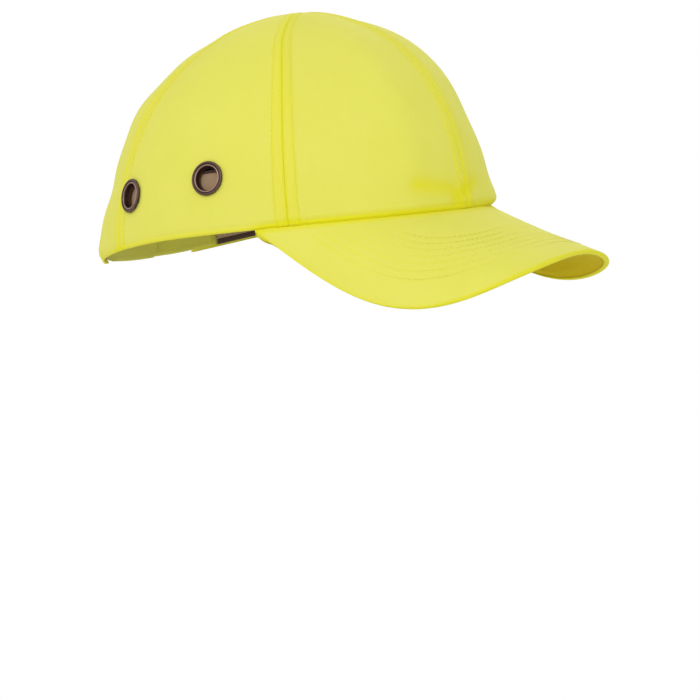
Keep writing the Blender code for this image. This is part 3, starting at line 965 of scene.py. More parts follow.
@dataclass
class Sewing:
    """Sews rows of stitches, scatters bristles and lays cords along lines."""

    pitch: float = 3.0 * MM
    stitch_share: float = 0.80
    thickness: float = 0.38 * MM
    bristle_density: float = 900_000.0
    bristle_height: float = 0.7 * MM
    bristle_radius: float = 0.12 * MM

    def __post_init__(self) -> None:
        """Build the trees."""
        self.stitches, self.bristles, self.cords = StitchTree(), BristleTree(), CordTree()

    @staticmethod
    def _guide(lines: Sequence[Line]) -> bpy.types.Mesh:
        """The lines as one mesh of edges.

        Args:
            lines: The lines.

        Returns:
            The mesh, which also carries the way out at each point.
        """
        points, edges, start = [], [], 0
        for line in lines:
            count = len(line.points)
            edges += [(start + k, start + k + 1) for k in range(count - 1)]
            points.append(line.points)
            start += count
        guide = bpy.data.meshes.new("guide")
        guide.from_pydata(np.concatenate(points).tolist(), edges, [])
        layer = guide.attributes.new("outward", "FLOAT_VECTOR", "POINT")
        outward = np.concatenate([line.outward for line in lines])
        layer.data.foreach_set("vector", outward.astype(np.float32).ravel())
        return guide

    def sew(self, name: str, lines: Sequence[Line], material: Material,
            pitch: float | None = None) -> Piece:
        """Rows of stitches along lines, as one piece."""
        step = pitch or self.pitch
        return self.stitches.run(name, self._guide(lines), {
            "Pitch": step, "Length": step * self.stitch_share, "Thickness": self.thickness,
            "Material": material})

    def lay(self, name: str, lines: Sequence[Line], radius: float,
            material: Material, sides: int = 8) -> Piece:
        """Round cords along lines, as one piece."""
        return self.cords.run(name, self._guide(lines), {
            "Radius": radius, "Sides": sides, "Material": material})

    def scatter(self, name: str, face: Array, seed: int, material: Material) -> Piece:
        """Bristles over a grid of points that faces outwards, as one piece.

        Args:
            name: The new piece's name.
            face: The grid of points.
            seed: The seed of their places.
            material: Its finish.

        Returns:
            The bristles.
        """
        rows, columns = face.shape[:2]
        patch = bpy.data.meshes.new("patch")
        patch.from_pydata(face.reshape(-1, 3).tolist(), [],
                          grid_faces(rows, columns, 0, False, False))
        return self.bristles.run(name, patch, {
            "Density": self.bristle_density, "Height": self.bristle_height,
            "Radius": self.bristle_radius, "Seed": seed, "Material": material})


# ---- The crown's surface ----
@dataclass(frozen=True)
class CapShape:
    """The crown's smooth outer face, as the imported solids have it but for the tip.

    The panels' tips are drawn forward to where the seams meet.
    """

    height: float = 111.5 * MM
    front: float = 105.5 * MM
    rear: float = 109.8 * MM
    half_width: float = 95.4 * MM
    apex_forward: float = 6.9 * MM
    tip_forward: float = 11.0 * MM
    tip_start: float = 0.55
    tip_curve: float = 1.25
    rim_rise_sides: float = 2.7 * MM
    rim_drop_rear: float = 8.0 * MM
    rim_drop_left: float = 1.2 * MM
    rim_drop_span: tuple[float, float, float, float] = (0.09, 0.50, 1.05, 1.48)
    roundness: float = 2.04
    front_fullness: float = 2.55
    rear_fullness: float = 1.50
    side_fullness: float = 1.96
    side_seam: float = math.radians(60.3)
    rear_seam: float = math.radians(119.5)
    cloth: float = 1.2 * MM
    lining: float = 1.8 * MM

    def profile(self, height: Array, fullness: float) -> Array:
        """The share of the rim's size that is left at a height."""
        share = np.clip(height / self.height, 0.0, 1.0)
        return np.maximum(1.0 - share**fullness, 0.0) ** (1.0 / self.roundness)

    def half(self, height: Array) -> Array:
        """Half the crown's width at a height."""
        return self.half_width * self.profile(height, self.side_fullness)

    def face(self, azimuth: Array, height: Array) -> Array:
        """Points of the crown's smooth outer face.

        Args:
            azimuth: The azimuth of each point.
            height: The height of each point.

        Returns:
            The points.
        """
        azimuth, height = np.broadcast_arrays(azimuth, height)
        share = np.clip(height / self.height, 0.0, 1.0)
        ahead = np.cos(azimuth) > 0.0
        reach = np.where(ahead, self.front * self.profile(height, self.front_fullness),
                         self.rear * self.profile(height, self.rear_fullness))
        half = self.half(height)
        across = np.sin(azimuth) ** 2
        rim = self.rim_rise_sides * across
        rim = rim - np.where(ahead, 0.0, self.rim_drop_rear) * (1.0 - across)
        rim = rim - self.rim_drop_left * plateau(azimuth, *self.rim_drop_span)
        closed = np.clip(1.0 - half / (self.tip_start * self.half_width), 0.0, 1.0)
        forward = self.apex_forward * share**3 + self.tip_forward * closed**self.tip_curve
        return np.stack([
            half * np.sin(azimuth),
            -reach * np.cos(azimuth) - forward,
            height + rim * (1.0 - share) ** 1.5], axis=-1)

    def normal(self, azimuth: Array, height: Array) -> Array:
        """The way out of the crown.

        Args:
            azimuth: The azimuth of each point.
            height: The height of each point.

        Returns:
            A unit vector for each point.
        """
        step = 0.004
        azimuth, height = np.broadcast_arrays(azimuth, height)
        low = np.maximum(height - 0.5 * MM, 0.0)
        high = np.minimum(height + 0.5 * MM, self.height - 0.02 * MM)
        along = self.face(azimuth + step, height) - self.face(azimuth - step, height)
        return unit(np.cross(along, self.face(azimuth, high) - self.face(azimuth, low)))

    def offset(self, azimuth: Array, height: Array, rise: Array) -> Array:
        """Points that stand a distance out of the face, or in from it below 0."""
        return self.face(azimuth, height) + rise[..., None] * self.normal(azimuth, height)

    def speed(self, azimuth: Array, height: Array) -> Array:
        """How far the face runs for each radian of azimuth."""
        step = 0.002
        span = self.face(azimuth + step, height) - self.face(azimuth - step, height)
        return np.maximum(np.linalg.norm(span[..., :2], axis=-1) / (2.0 * step), 0.2 * MM)

    def beside(self, azimuth: Array, height: Array, distance: Array | float) -> Array:
        """The azimuth that lies a distance further round."""
        return azimuth + distance / self.speed(azimuth, height)

    def height_at_radius(self, azimuth: Array | float, radius: Array | float) -> Array:
        """The height at which the crown closes in to a radius round its apex.

        Args:
            azimuth: The azimuths.
            radius: The radius at each.

        Returns:
            The heights.
        """
        azimuth, radius = np.broadcast_arrays(np.asarray(azimuth, dtype=float), radius)
        low = np.zeros_like(azimuth)
        high = np.full_like(azimuth, self.height)
        apex = self.face(azimuth, high)
        for _ in range(40):
            middle = (low + high) / 2.0
            gap = np.linalg.norm((self.face(azimuth, middle) - apex)[..., :2], axis=-1)
            low = np.where(gap > radius, middle, low)
            high = np.where(gap > radius, high, middle)
        return low

    def azimuth_at_x(self, height: Array, x: Array) -> Array:
        """The azimuth on the crown's back that has an x."""
        return math.pi - np.arcsin(np.clip(x / self.half(height), -1.0, 1.0))

    @property
    def seams(self) -> dict[str, float]:
        """The azimuth of each of the six seams."""
        return {"front": 0.0, "side_right": -self.side_seam, "side_left": self.side_seam,
                "rear_right": -self.rear_seam, "rear_left": self.rear_seam, "back": math.pi}


@dataclass(frozen=True)
class Fold:
    """A ridge or dent that runs along a line on the crown.

    The line's points are (azimuth in degrees, height in mm). A positive rise stands out.
    """

    line: tuple[tuple[float, float], ...]
    rise: float
    width: float
    # how much painted shade, a deeper cloth colour, the fold lays on the cloth
    painted_shade: float = 0.0
    sharp: bool = False

    def share(self, shape: CapShape, points: Array) -> Array:
        """How much of the fold reaches each point, from 0 to 1.

        Args:
            shape: The crown's shape.
            points: The points.

        Returns:
            The shares.
        """
        marks = np.array(self.line)
        knots = shape.face(np.radians(marks[:, 0]), marks[:, 1] * MM)
        nearest = gap_to_line(points, knots)
        if self.sharp:
            return np.exp(1.0 - np.sqrt((nearest / self.width) ** 2 + 1.0))
        return hump(nearest, self.width)


@dataclass(frozen=True)
class Relief:
    """How the sewn cloth departs from the crown's smooth face."""

    shape: CapShape
    groove: float = 0.60 * MM
    groove_width: float = 0.55 * MM
    seam_rise: float = 0.50 * MM
    stitch_distance: float = 5.8 * MM
    stitch_nearer: float = 0.40
    stitch_room: float = 0.27
    stitch_sink: float = 0.20 * MM
    stitch_width: float = 0.45 * MM
    tip_span: tuple[float, float] = (3.0 * MM, 16.0 * MM)
    tip_flatter: float = 0.65
    hem_turn: float = 1.3 * MM
    hem_turn_share: float = 0.55
    hem_crease: float = 2.6 * MM
    hem_sink: float = 0.22 * MM
    hem_sink_width: float = 0.6 * MM
    hem_swell: float = 0.18 * MM
    hem_swell_width: float = 1.6 * MM
    tuck: float = 0.9 * MM
    tuck_height: float = 5.0 * MM
    peak_spread: float = math.radians(69.7)
    shade_seam: float = 0.60
    shade_stitch: float = 0.30
    shade_band: float = 0.34
    shade_hem: float = 0.70
    shade_tuck: float = 0.85
    shade_width: float = 0.8 * MM
    shade_hem_span: tuple[float, float] = (0.3 * MM, 4.0 * MM)
    waves: tuple[tuple[float, float, float, float, float], ...] = (
        # height, waves in a radian, their start, climb of a radian, its start
        (0.30 * MM, 5.0, 0.7, 17.0 * MM, 1.1), (0.22 * MM, 9.0, -1.9, 11.0 * MM, 0.0))
    wave_ends: tuple[float, ...] = (1.0 * MM, 14.0 * MM, 92.0 * MM, 110.0 * MM)
    folds: tuple[Fold, ...] = (
        Fold(((-31.5, 96.0), (-26.0, 79.2), (-24.5, 67.2), (-21.5, 56.3), (-22.0, 40.4),
              (-22.5, 23.7)), 2.3 * MM, 8.0 * MM, 0.0, True),
        Fold(((-21.5, 14.5), (-14.0, 12.5), (-7.0, 11.0)), -0.7 * MM, 4.0 * MM, 0.75),
        Fold(((-6.0, 5.5), (-1.0, 9.5), (6.0, 13.4)), -0.6 * MM, 3.5 * MM, 0.85),
        Fold(((-119.0, 94.0), (-130.5, 100.7)), -1.0 * MM, 7.0 * MM),
        Fold(((27.0, 92.0), (22.0, 70.0), (20.0, 44.0)), 0.7 * MM, 10.0 * MM, 0.0, True),
        Fold(((150.0, 92.0), (146.0, 74.0), (148.0, 60.0)), -0.6 * MM, 9.0 * MM, 0.1),
        Fold(((-151.0, 88.0), (-147.0, 72.0), (-150.0, 58.0)), -0.5 * MM, 9.0 * MM, 0.1),
        Fold(((84.0, 60.0), (100.0, 64.0), (112.0, 60.0)), -0.5 * MM, 10.0 * MM, 0.0),
        Fold(((20.0, 47.0), (35.0, 47.0), (50.0, 47.0)), -1.4 * MM, 16.0 * MM),
        Fold(((0.0, 104.0), (40.0, 107.0), (70.0, 108.5)), -2.1 * MM, 20.0 * MM),
        Fold(((18.0, 4.5), (35.0, 4.5), (52.0, 4.5)), 2.6 * MM, 8.0 * MM),
        Fold(((-162.0, 34.0), (-146.0, 33.0), (-131.0, 36.0)), -2.1 * MM, 13.0 * MM),
        Fold(((-162.0, 70.0), (-145.0, 70.0), (-130.0, 72.0)), 2.0 * MM, 13.0 * MM),
        Fold(((-158.0, 4.0), (-138.0, 4.0)), 1.3 * MM, 7.0 * MM),
    )

    def stitch_place(self, height: Array) -> Array:
        """How far the topstitching runs from its seam: closer near the apex."""
        share = np.clip(height / self.shape.height, 0.0, 1.0)
        nearer = self.stitch_distance * (1.0 - self.stitch_nearer * share**2)
        return np.minimum(nearer, self.stitch_room * self.shape.half(height))

    def seam_distance(self, azimuth: Array, height: Array) -> Array:
        """How far each point lies from the nearest seam.

        Args:
            azimuth: The azimuth of each point.
            height: The height of each point.

        Returns:
            The distances.
        """
        azimuth, height = np.broadcast_arrays(azimuth, height)
        speed = self.shape.speed(azimuth, height)
        nearest = np.full(azimuth.shape, np.inf)
        for seam in self.shape.seams.values():
            nearest = np.minimum(nearest, turn_from(azimuth, seam) * speed)
        return nearest

    def soft(self, azimuth: Array, height: Array) -> Array:
        """The folds and slow waves, which the layers inside the cloth follow as well.

        Args:
            azimuth: The azimuth of each point.
            height: The height of each point.

        Returns:
            How far the cloth rises out of the smooth face.
        """
        azimuth, height = np.broadcast_arrays(azimuth, height)
        points = self.shape.face(azimuth, height)
        total = sum(fold.rise * fold.share(self.shape, points) for fold in self.folds)
        wave = sum(rise * np.sin(often * azimuth + turn) * np.sin(height / climb + start)
                   for rise, often, turn, climb, start in self.waves)
        return total * smooth(height, 0.0, 3.0 * MM) + wave * plateau(height, *self.wave_ends)

    def full(self, azimuth: Array, height: Array) -> Array:
        """Everything that shapes the outer face.

        Args:
            azimuth: The azimuth of each point.
            height: The height of each point.

        Returns:
            How far the cloth rises out of the smooth face.
        """
        azimuth, height = np.broadcast_arrays(azimuth, height)
        gap = self.seam_distance(azimuth, height)
        place = self.stitch_place(height)
        weaker = 1.0 - smooth(self.shape.half(height), *self.tip_span)
        band = 1.0 - smooth(gap, place - 0.5 * MM, place + 1.3 * MM)
        seam = self.seam_rise * band - self.groove * hump(gap, self.groove_width)
        seam = seam - self.stitch_sink * hump(gap - place, self.stitch_width)
        turned_in = np.clip(1.0 - height / self.hem_turn, 0.0, 1.0) ** 2
        hem = -self.hem_turn_share * self.shape.cloth * turned_in
        hem = hem - self.hem_sink * hump(height - self.hem_crease, self.hem_sink_width)
        hem = hem + self.hem_swell * hump(height - self.hem_crease * 2.0, self.hem_swell_width)
        seam = seam * (1.0 - self.tip_flatter * weaker)
        return self.soft(azimuth, height) + seam + hem - self.tucked(azimuth, height) * self.tuck

    def tucked(self, azimuth: Array, height: Array) -> Array:
        """How far the cloth is drawn in above the peak's seam, from 0 to 1."""
        over_peak = smooth(turn_from(azimuth), self.peak_spread + 0.03, self.peak_spread - 0.06)
        return over_peak * np.clip(1.0 - height / self.tuck_height, 0.0, 1.0) ** 2

    def crease(self, azimuth: Array, height: Array) -> Array:
        """How much painted shade the cloth gets at each point, from 0 to 1.

        Args:
            azimuth: The azimuth of each point.
            height: The height of each point.

        Returns:
            The share of painted shade, a deeper colour at seams, hem, tuck and dents.
        """
        azimuth, height = np.broadcast_arrays(azimuth, height)
        gap = self.seam_distance(azimuth, height)
        place = self.stitch_place(height)
        points = self.shape.face(azimuth, height)
        depth = self.shade_seam * hump(gap, self.shade_width)
        depth = depth + self.shade_stitch * hump(gap - place, self.shade_width)
        band = 1.0 - smooth(gap, place - 0.3 * MM, place + self.shade_width)
        hem = 1.0 - smooth(height, *self.shade_hem_span)
        depth = depth + self.shade_band * band + self.shade_hem * hem
        depth = depth + self.shade_tuck * np.sqrt(self.tucked(azimuth, height))
        for fold in self.folds:
            if fold.painted_shade:
                depth = depth + fold.painted_shade * fold.share(self.shape, points)
        return np.clip(depth, 0.0, 1.0)

    def outer(self, azimuth: Array, height: Array, proud: Array | float = 0.0) -> Array:
        """Points of the sewn cloth's outer face, or a distance proud of it."""
        return self.shape.offset(azimuth, height, self.full(azimuth, height) + proud)

    def inside(self, azimuth: Array, height: Array, depth: Array | float) -> Array:
        """Points at a depth inside the crown, following its folds."""
        return self.shape.offset(azimuth, height, self.soft(azimuth, height) - depth)


# ---- Crown ----
@dataclass
class Crown:
    """Six gores, their topstitching and the tapes over the seams inside."""

    relief: Relief
    wardrobe: Wardrobe
    sewing: Sewing
    seam_steps: tuple[float, ...] = (0.0, 0.35, 0.7, 1.05, 1.5, 2.2, 3.2, 4.3, 4.9, 5.3, 5.6,
                                     5.9, 6.2, 6.6, 7.2, 8.2)
    hem_steps: tuple[float, ...] = (0.0, 0.25, 0.5, 0.8, 1.2, 1.7, 2.2, 2.7, 3.3, 4.2, 5.4, 7.0)
    columns: int = 61
    plain_columns: int = 8
    rows: int = 74
    tip_radius: float = 0.25 * MM
    joint_gap: float = 0.03 * MM
    arch_half_width: float = 42.0 * MM
    arch_height: float = 50.0 * MM
    tape_width: float = 12.0 * MM
    tape_thick: float = 0.8 * MM
    tape_start: float = 38.0 * MM
    tape_apex_clear: float = 14.0 * MM

    def __post_init__(self) -> None:
        """Take the smooth shape from the relief."""
        self.shape = self.relief.shape

    def column_shares(self, width: Array, count: int) -> Array:
        """Where a row's columns lie, close together at its seams.

        Args:
            width: The width of each row.
            count: How many columns a row has.

        Returns:
            The shares of each row's width.
        """
        steps = np.array(self.seam_steps) * MM
        scale = np.minimum(1.0, width * 0.5 / (steps[-1] * 1.5))[..., None]
        edge = steps * scale / width[..., None]
        between = count - 2 * len(steps)
        share = np.arange(1, between + 1) / (between + 1)
        middle = edge[..., -1:] + (1.0 - 2.0 * edge[..., -1:]) * share
        return np.concatenate([edge, middle, (1.0 - edge)[..., ::-1]], axis=-1)

    def row_heights(self, top: float) -> Array:
        """The heights of a gore's rows: close together at the hem and at the tip."""
        hem = np.array(self.hem_steps) * MM
        climb = 1.0 - (1.0 - np.arange(1, self.rows) / (self.rows - 1)) ** 1.7
        return np.concatenate([hem, hem[-1] + (top - hem[-1]) * climb])

    def gore(self, name: str, azimuths: Array, heights: Array) -> Piece:
        """One gore from grids of azimuths and heights.

        Args:
            name: The new piece's name.
            azimuths: The azimuth of each point, rows by columns.
            heights: The height of each point, rows by columns.

        Returns:
            The gore.
        """
        outer = self.relief.outer(azimuths, heights)
        inner = self.relief.inside(azimuths, heights, self.shape.cloth)
        middle = np.median(azimuths)
        speed = self.shape.speed(azimuths, heights)
        rise = np.linalg.norm(np.diff(outer, axis=0), axis=-1)
        climbed = np.concatenate([[0.0], np.cumsum(rise[:, outer.shape[1] // 2])])
        flat = np.stack([(azimuths - middle) * speed,
                         np.broadcast_to(climbed[:, None], azimuths.shape)], axis=-1)
        # painted shade for each point: a deeper colour at seams, hem, tuck and dents
        marks = {"crease": self.relief.crease(azimuths, heights)}
        return make_sheet(name, outer, inner, self.wardrobe.cloth, flat, marks)

    def plain_gore(self, name: str, start: float, end: float) -> Piece:
        """A gore between two seams, from the rim to the tip.

        Args:
            name: The new piece's name.
            start: The azimuth of its first seam.
            end: The azimuth of its second seam.

        Returns:
            The gore.
        """
        top = float(self.shape.height_at_radius((start + end) / 2.0, self.tip_radius))
        heights = self.row_heights(top)[:, None]
        low = self.shape.beside(start, heights, self.joint_gap)
        high = self.shape.beside(end, heights, -self.joint_gap)
        width = (high - low)[:, 0] * self.shape.speed((start + end) / 2.0, heights)[:, 0]
        azimuths = low + (high - low) * self.column_shares(width, self.columns)
        return self.gore(name, azimuths, np.broadcast_to(heights, azimuths.shape))

    def back_gore(self, name: str, side: Side) -> Piece:
        """A gore at the back, with its half of the arch cut from its lower edge.

        Args:
            name: The new piece's name.
            side: The side of the cap.

        Returns:
            The gore.
        """
        shape = self.shape
        top = float(shape.height_at_radius(math.pi, self.tip_radius))
        corner = float(shape.azimuth_at_x(0.0, self.arch_half_width))
        plain_width = (corner - shape.rear_seam) * float(shape.speed(corner, 0.0))
        near = np.array(self.seam_steps) * MM
        plain = np.concatenate([near, np.linspace(
            near[-1], plain_width, self.plain_columns + 2)[1:-1]])
        plain = shape.rear_seam + plain / plain_width * (corner - shape.rear_seam)
        turns = np.linspace(math.pi / 2.0, 0.35, 26)
        centre = np.arcsin(np.clip(near[::-1] / self.arch_half_width, 0.0, 1.0))
        turns = np.concatenate([turns, np.linspace(0.35, centre[0], 6)[1:-1], centre])
        crest = self.arch_height * np.cos(turns)
        arched = shape.azimuth_at_x(crest, self.arch_half_width * np.sin(turns))
        edge = np.concatenate([plain, arched])
        low = np.concatenate([np.zeros(len(plain)), crest])
        share = self.row_heights(1.0)[:, None]
        share = (share - share[0]) / (share[-1] - share[0])
        heights = low + (top - low) * share
        start = shape.beside(shape.rear_seam, heights, self.joint_gap)
        end = shape.beside(math.pi, heights, -self.joint_gap)
        below = (edge - shape.rear_seam) / (math.pi - shape.rear_seam)
        width = (math.pi - shape.rear_seam) * shape.speed(2.6, heights[:, :1])[:, 0]
        above = self.column_shares(width, len(edge))
        across = below + (above - below) * smooth(share, 0.0, 1.0)
        azimuths = side.value * (start + (end - start) * across)
        return self.gore(name, azimuths, heights)

    def seam_lines(self, eyelets: Eyelets) -> list[Line]:
        """Two lines of topstitching beside each seam, broken where an eyelet covers them.

        Args:
            eyelets: The eyelets.

        Returns:
            The lines.
        """
        lines = []
        for word, azimuth in self.shape.seams.items():
            start = self.arch_height + 3.0 * MM if word == "back" else 3.5 * MM
            top = float(self.shape.height_at_radius(azimuth, 5.0 * MM))
            heights = start + (top - start) * (1.0 - (1.0 - np.linspace(0, 1, 90)) ** 1.6)
            for sign in (-1.0, 1.0):
                place = self.relief.stitch_place(heights) * sign
                places = self.shape.beside(azimuth, heights, place)
                line = self.line(places, heights)
                lines += line.outside(eyelets.cover(line.points))
        return lines

    def line(self, azimuths: Array, heights: Array, proud: float = 0.05 * MM) -> Line:
        """A line on the outer face."""
        return Line(self.relief.outer(azimuths, heights, proud),
                    self.shape.normal(azimuths, heights))

    def tapes(self) -> None:
        """A tape over each seam inside, with a stitched edge on both sides."""
        lines = []
        for word, azimuth in self.shape.seams.items():
            start = self.arch_height + 2.0 * MM if word == "back" else self.tape_start
            top = float(self.shape.height_at_radius(azimuth, self.tape_apex_clear))
            heights = np.linspace(start, top, 60)[:, None]
            across = np.linspace(-0.5, 0.5, 13)[None, :]
            places = self.shape.beside(azimuth, heights, across * self.tape_width)
            heights = np.broadcast_to(heights, places.shape)
            edge = smooth(np.abs(across), 0.46, 0.5)
            ridge = 0.12 * MM * hump(np.abs(across) - 0.18, 0.08)
            outer = self.relief.inside(places, heights, self.shape.lining + 0.15 * MM * edge)
            deep = self.shape.lining + self.tape_thick - 0.25 * MM * edge - ridge
            inner = self.relief.inside(places, heights, deep)
            run = np.linspace(0.0, 1.0, 60)[:, None] * (top - start) * 1.3
            flat = np.stack(np.broadcast_arrays(run, across * self.tape_width), axis=-1)
            tape = make_sheet(f"seam_tape_cloth_{word}", outer, inner, self.wardrobe.tape, flat)
            declare_cloth(seat(tape, Body.CAP, Slot.TAPE, f"seam_tape_{word}"))
            for sign in (-1.0, 1.0):
                edge_places = self.shape.beside(azimuth, heights[:, 0], sign * 4.4 * MM)
                points = self.relief.inside(edge_places, heights[:, 0],
                                            self.shape.lining + self.tape_thick + 0.05 * MM)
                lines.append(Line(points, -self.shape.normal(edge_places, heights[:, 0])))
        seat(self.sewing.sew("seam_tape_stitches", lines, self.wardrobe.thread),
             Body.CAP, Slot.TAPE)

    def build(self, eyelets: Eyelets) -> None:
        """Make every piece of the crown, with holes for the eyelets.

        Args:
            eyelets: The eyelets, which cut their own holes.
        """
        shape = self.shape
        for side in Side:
            edges = {
                "front": sorted((0.0, side.value * shape.side_seam)),
                "side": sorted((side.value * shape.side_seam, side.value * shape.rear_seam))}
            for word, (start, end) in edges.items():
                node = f"{word}_panel_{side.word}"
                gore = self.plain_gore(f"{word}_gore_{side.word}", start, end)
                if word == "side":
                    gore = eyelets.cut_holes(gore, side)
                declare_cloth(seat(gore, Body.CAP, Slot.CLOTH, node))
            gore = self.back_gore(f"back_gore_{side.word}", side)
            declare_cloth(seat(gore, Body.CAP, Slot.CLOTH, f"back_panel_{side.word}"))
        lines = self.seam_lines(eyelets)
        seat(self.sewing.sew("crown_topstitching", lines, self.wardrobe.thread), Body.CAP,
             Slot.CLOTH)
        self.tapes()


# ---- Eyelets ----
@dataclass
class Eyelets:
    """Four brass eyelets with rolled flanges, clenched over washers."""

    relief: Relief
    wardrobe: Wardrobe
    places: tuple[tuple[str, float, float], ...] = (
        ("front", math.radians(82.8), 28.8 * MM), ("rear", math.radians(113.2), 26.4 * MM))
    bore: float = 5.6 * MM
    wall: float = 0.7 * MM
    radius: float = 9.1 * MM
    gap: float = 0.3 * MM
    inside: float = 2.3 * MM
    washer: float = 0.7 * MM
    punch_reach: float = 6.0 * MM
    section: tuple[tuple[float, float, float], ...] = (
        # radius, rise, how much rubbing and painted highlight it gets
        (8.72, 0.42, 0.05), (8.70, 0.72, 0.08), (8.57, 1.02, 0.14), (8.32, 1.24, 0.22),
        (8.02, 1.33, 0.20), (7.72, 1.28, 0.10), (7.46, 1.12, 0.02), (7.27, 0.96, 0.00),
        (7.10, 0.94, 0.05), (6.98, 1.06, 0.45), (6.80, 1.20, 0.85), (6.62, 1.22, 0.80),
        (6.44, 1.10, 0.45), (6.28, 0.86, 0.12), (6.12, 0.48, 0.02), (5.96, 0.02, 0.00),
        (5.82, -0.60, 0.04), (5.72, -1.30, 0.16), (5.66, -2.10, 0.30), (5.70, -2.75, 0.45),
        (5.85, -2.98, 0.60), (6.30, -3.00, 0.30), (6.30, 0.30, 0.00), (8.50, 0.30, 0.00))

    def frame_at(self, azimuth: float, height: float) -> tuple[Array, Array]:
        """The crown's point and the way out at an eyelet."""
        at = np.array([azimuth]), np.array([height])
        return self.relief.shape.face(*at)[0], self.relief.shape.normal(*at)[0]

    def cover(self, points: Array) -> Array:
        """Whether each point lies under an eyelet's flange."""
        centres = [self.frame_at(side.value * azimuth, height)[0]
                   for side in Side for _, azimuth, height in self.places]
        return np.min([np.linalg.norm(points - centre, axis=-1) for centre in centres],
                      axis=0) < self.radius

    def cut_holes(self, gore: Piece, side: Side) -> Piece:
        """Round holes through a side gore.

        Args:
            gore: The gore.
            side: The side of the cap.

        Returns:
            The gore with its holes.
        """
        for word, azimuth, height in self.places:
            centre, outward = self.frame_at(side.value * azimuth, height)
            arms = (self.bore + self.wall + self.gap) * spokes(outward, 48)
            rings = np.stack([centre + arms + rise * outward for rise in (
                -self.punch_reach, self.punch_reach)])
            gore = punched(gore, make_tube(f"punch_{word}", rings, self.wardrobe.cloth))
        return gore

    def build(self) -> None:
        """Make the eyelets and their washers."""
        table = np.array(self.section)
        profile, wear = table[:, :2] * MM, table[:, 2]
        barrel = self.bore + self.wall + self.gap
        low = -self.inside - self.washer
        washer = np.array([
            (barrel, -self.inside), (self.radius - 0.15 * MM, -self.inside),
            (self.radius, -self.inside - 0.15 * MM), (self.radius, low + 0.2 * MM),
            (self.radius - 0.25 * MM, low), (barrel + 0.3 * MM, low - 0.12 * MM),
            (barrel, low + 0.1 * MM)])
        washer_wear = np.array([0.0, 0.1, 0.3, 0.6, 0.7, 0.5, 0.3])
        for side in Side:
            for word, azimuth, height in self.places:
                centre, outward = self.frame_at(side.value * azimuth, height)
                name = f"{word}_{side.word}"
                ring = make_turned(f"brass_eyelet_{name}", profile, wear, centre, outward,
                                   self.wardrobe.brass)
                seat(ring, Body.CAP, Slot.BRASS, f"eyelet_{name}")
                disc = make_turned(f"brass_washer_{name}", washer, washer_wear, centre, outward,
                                   self.wardrobe.brass, 48)
                seat(disc, Body.CAP, Slot.BRASS, f"eyelet_washer_{name}")


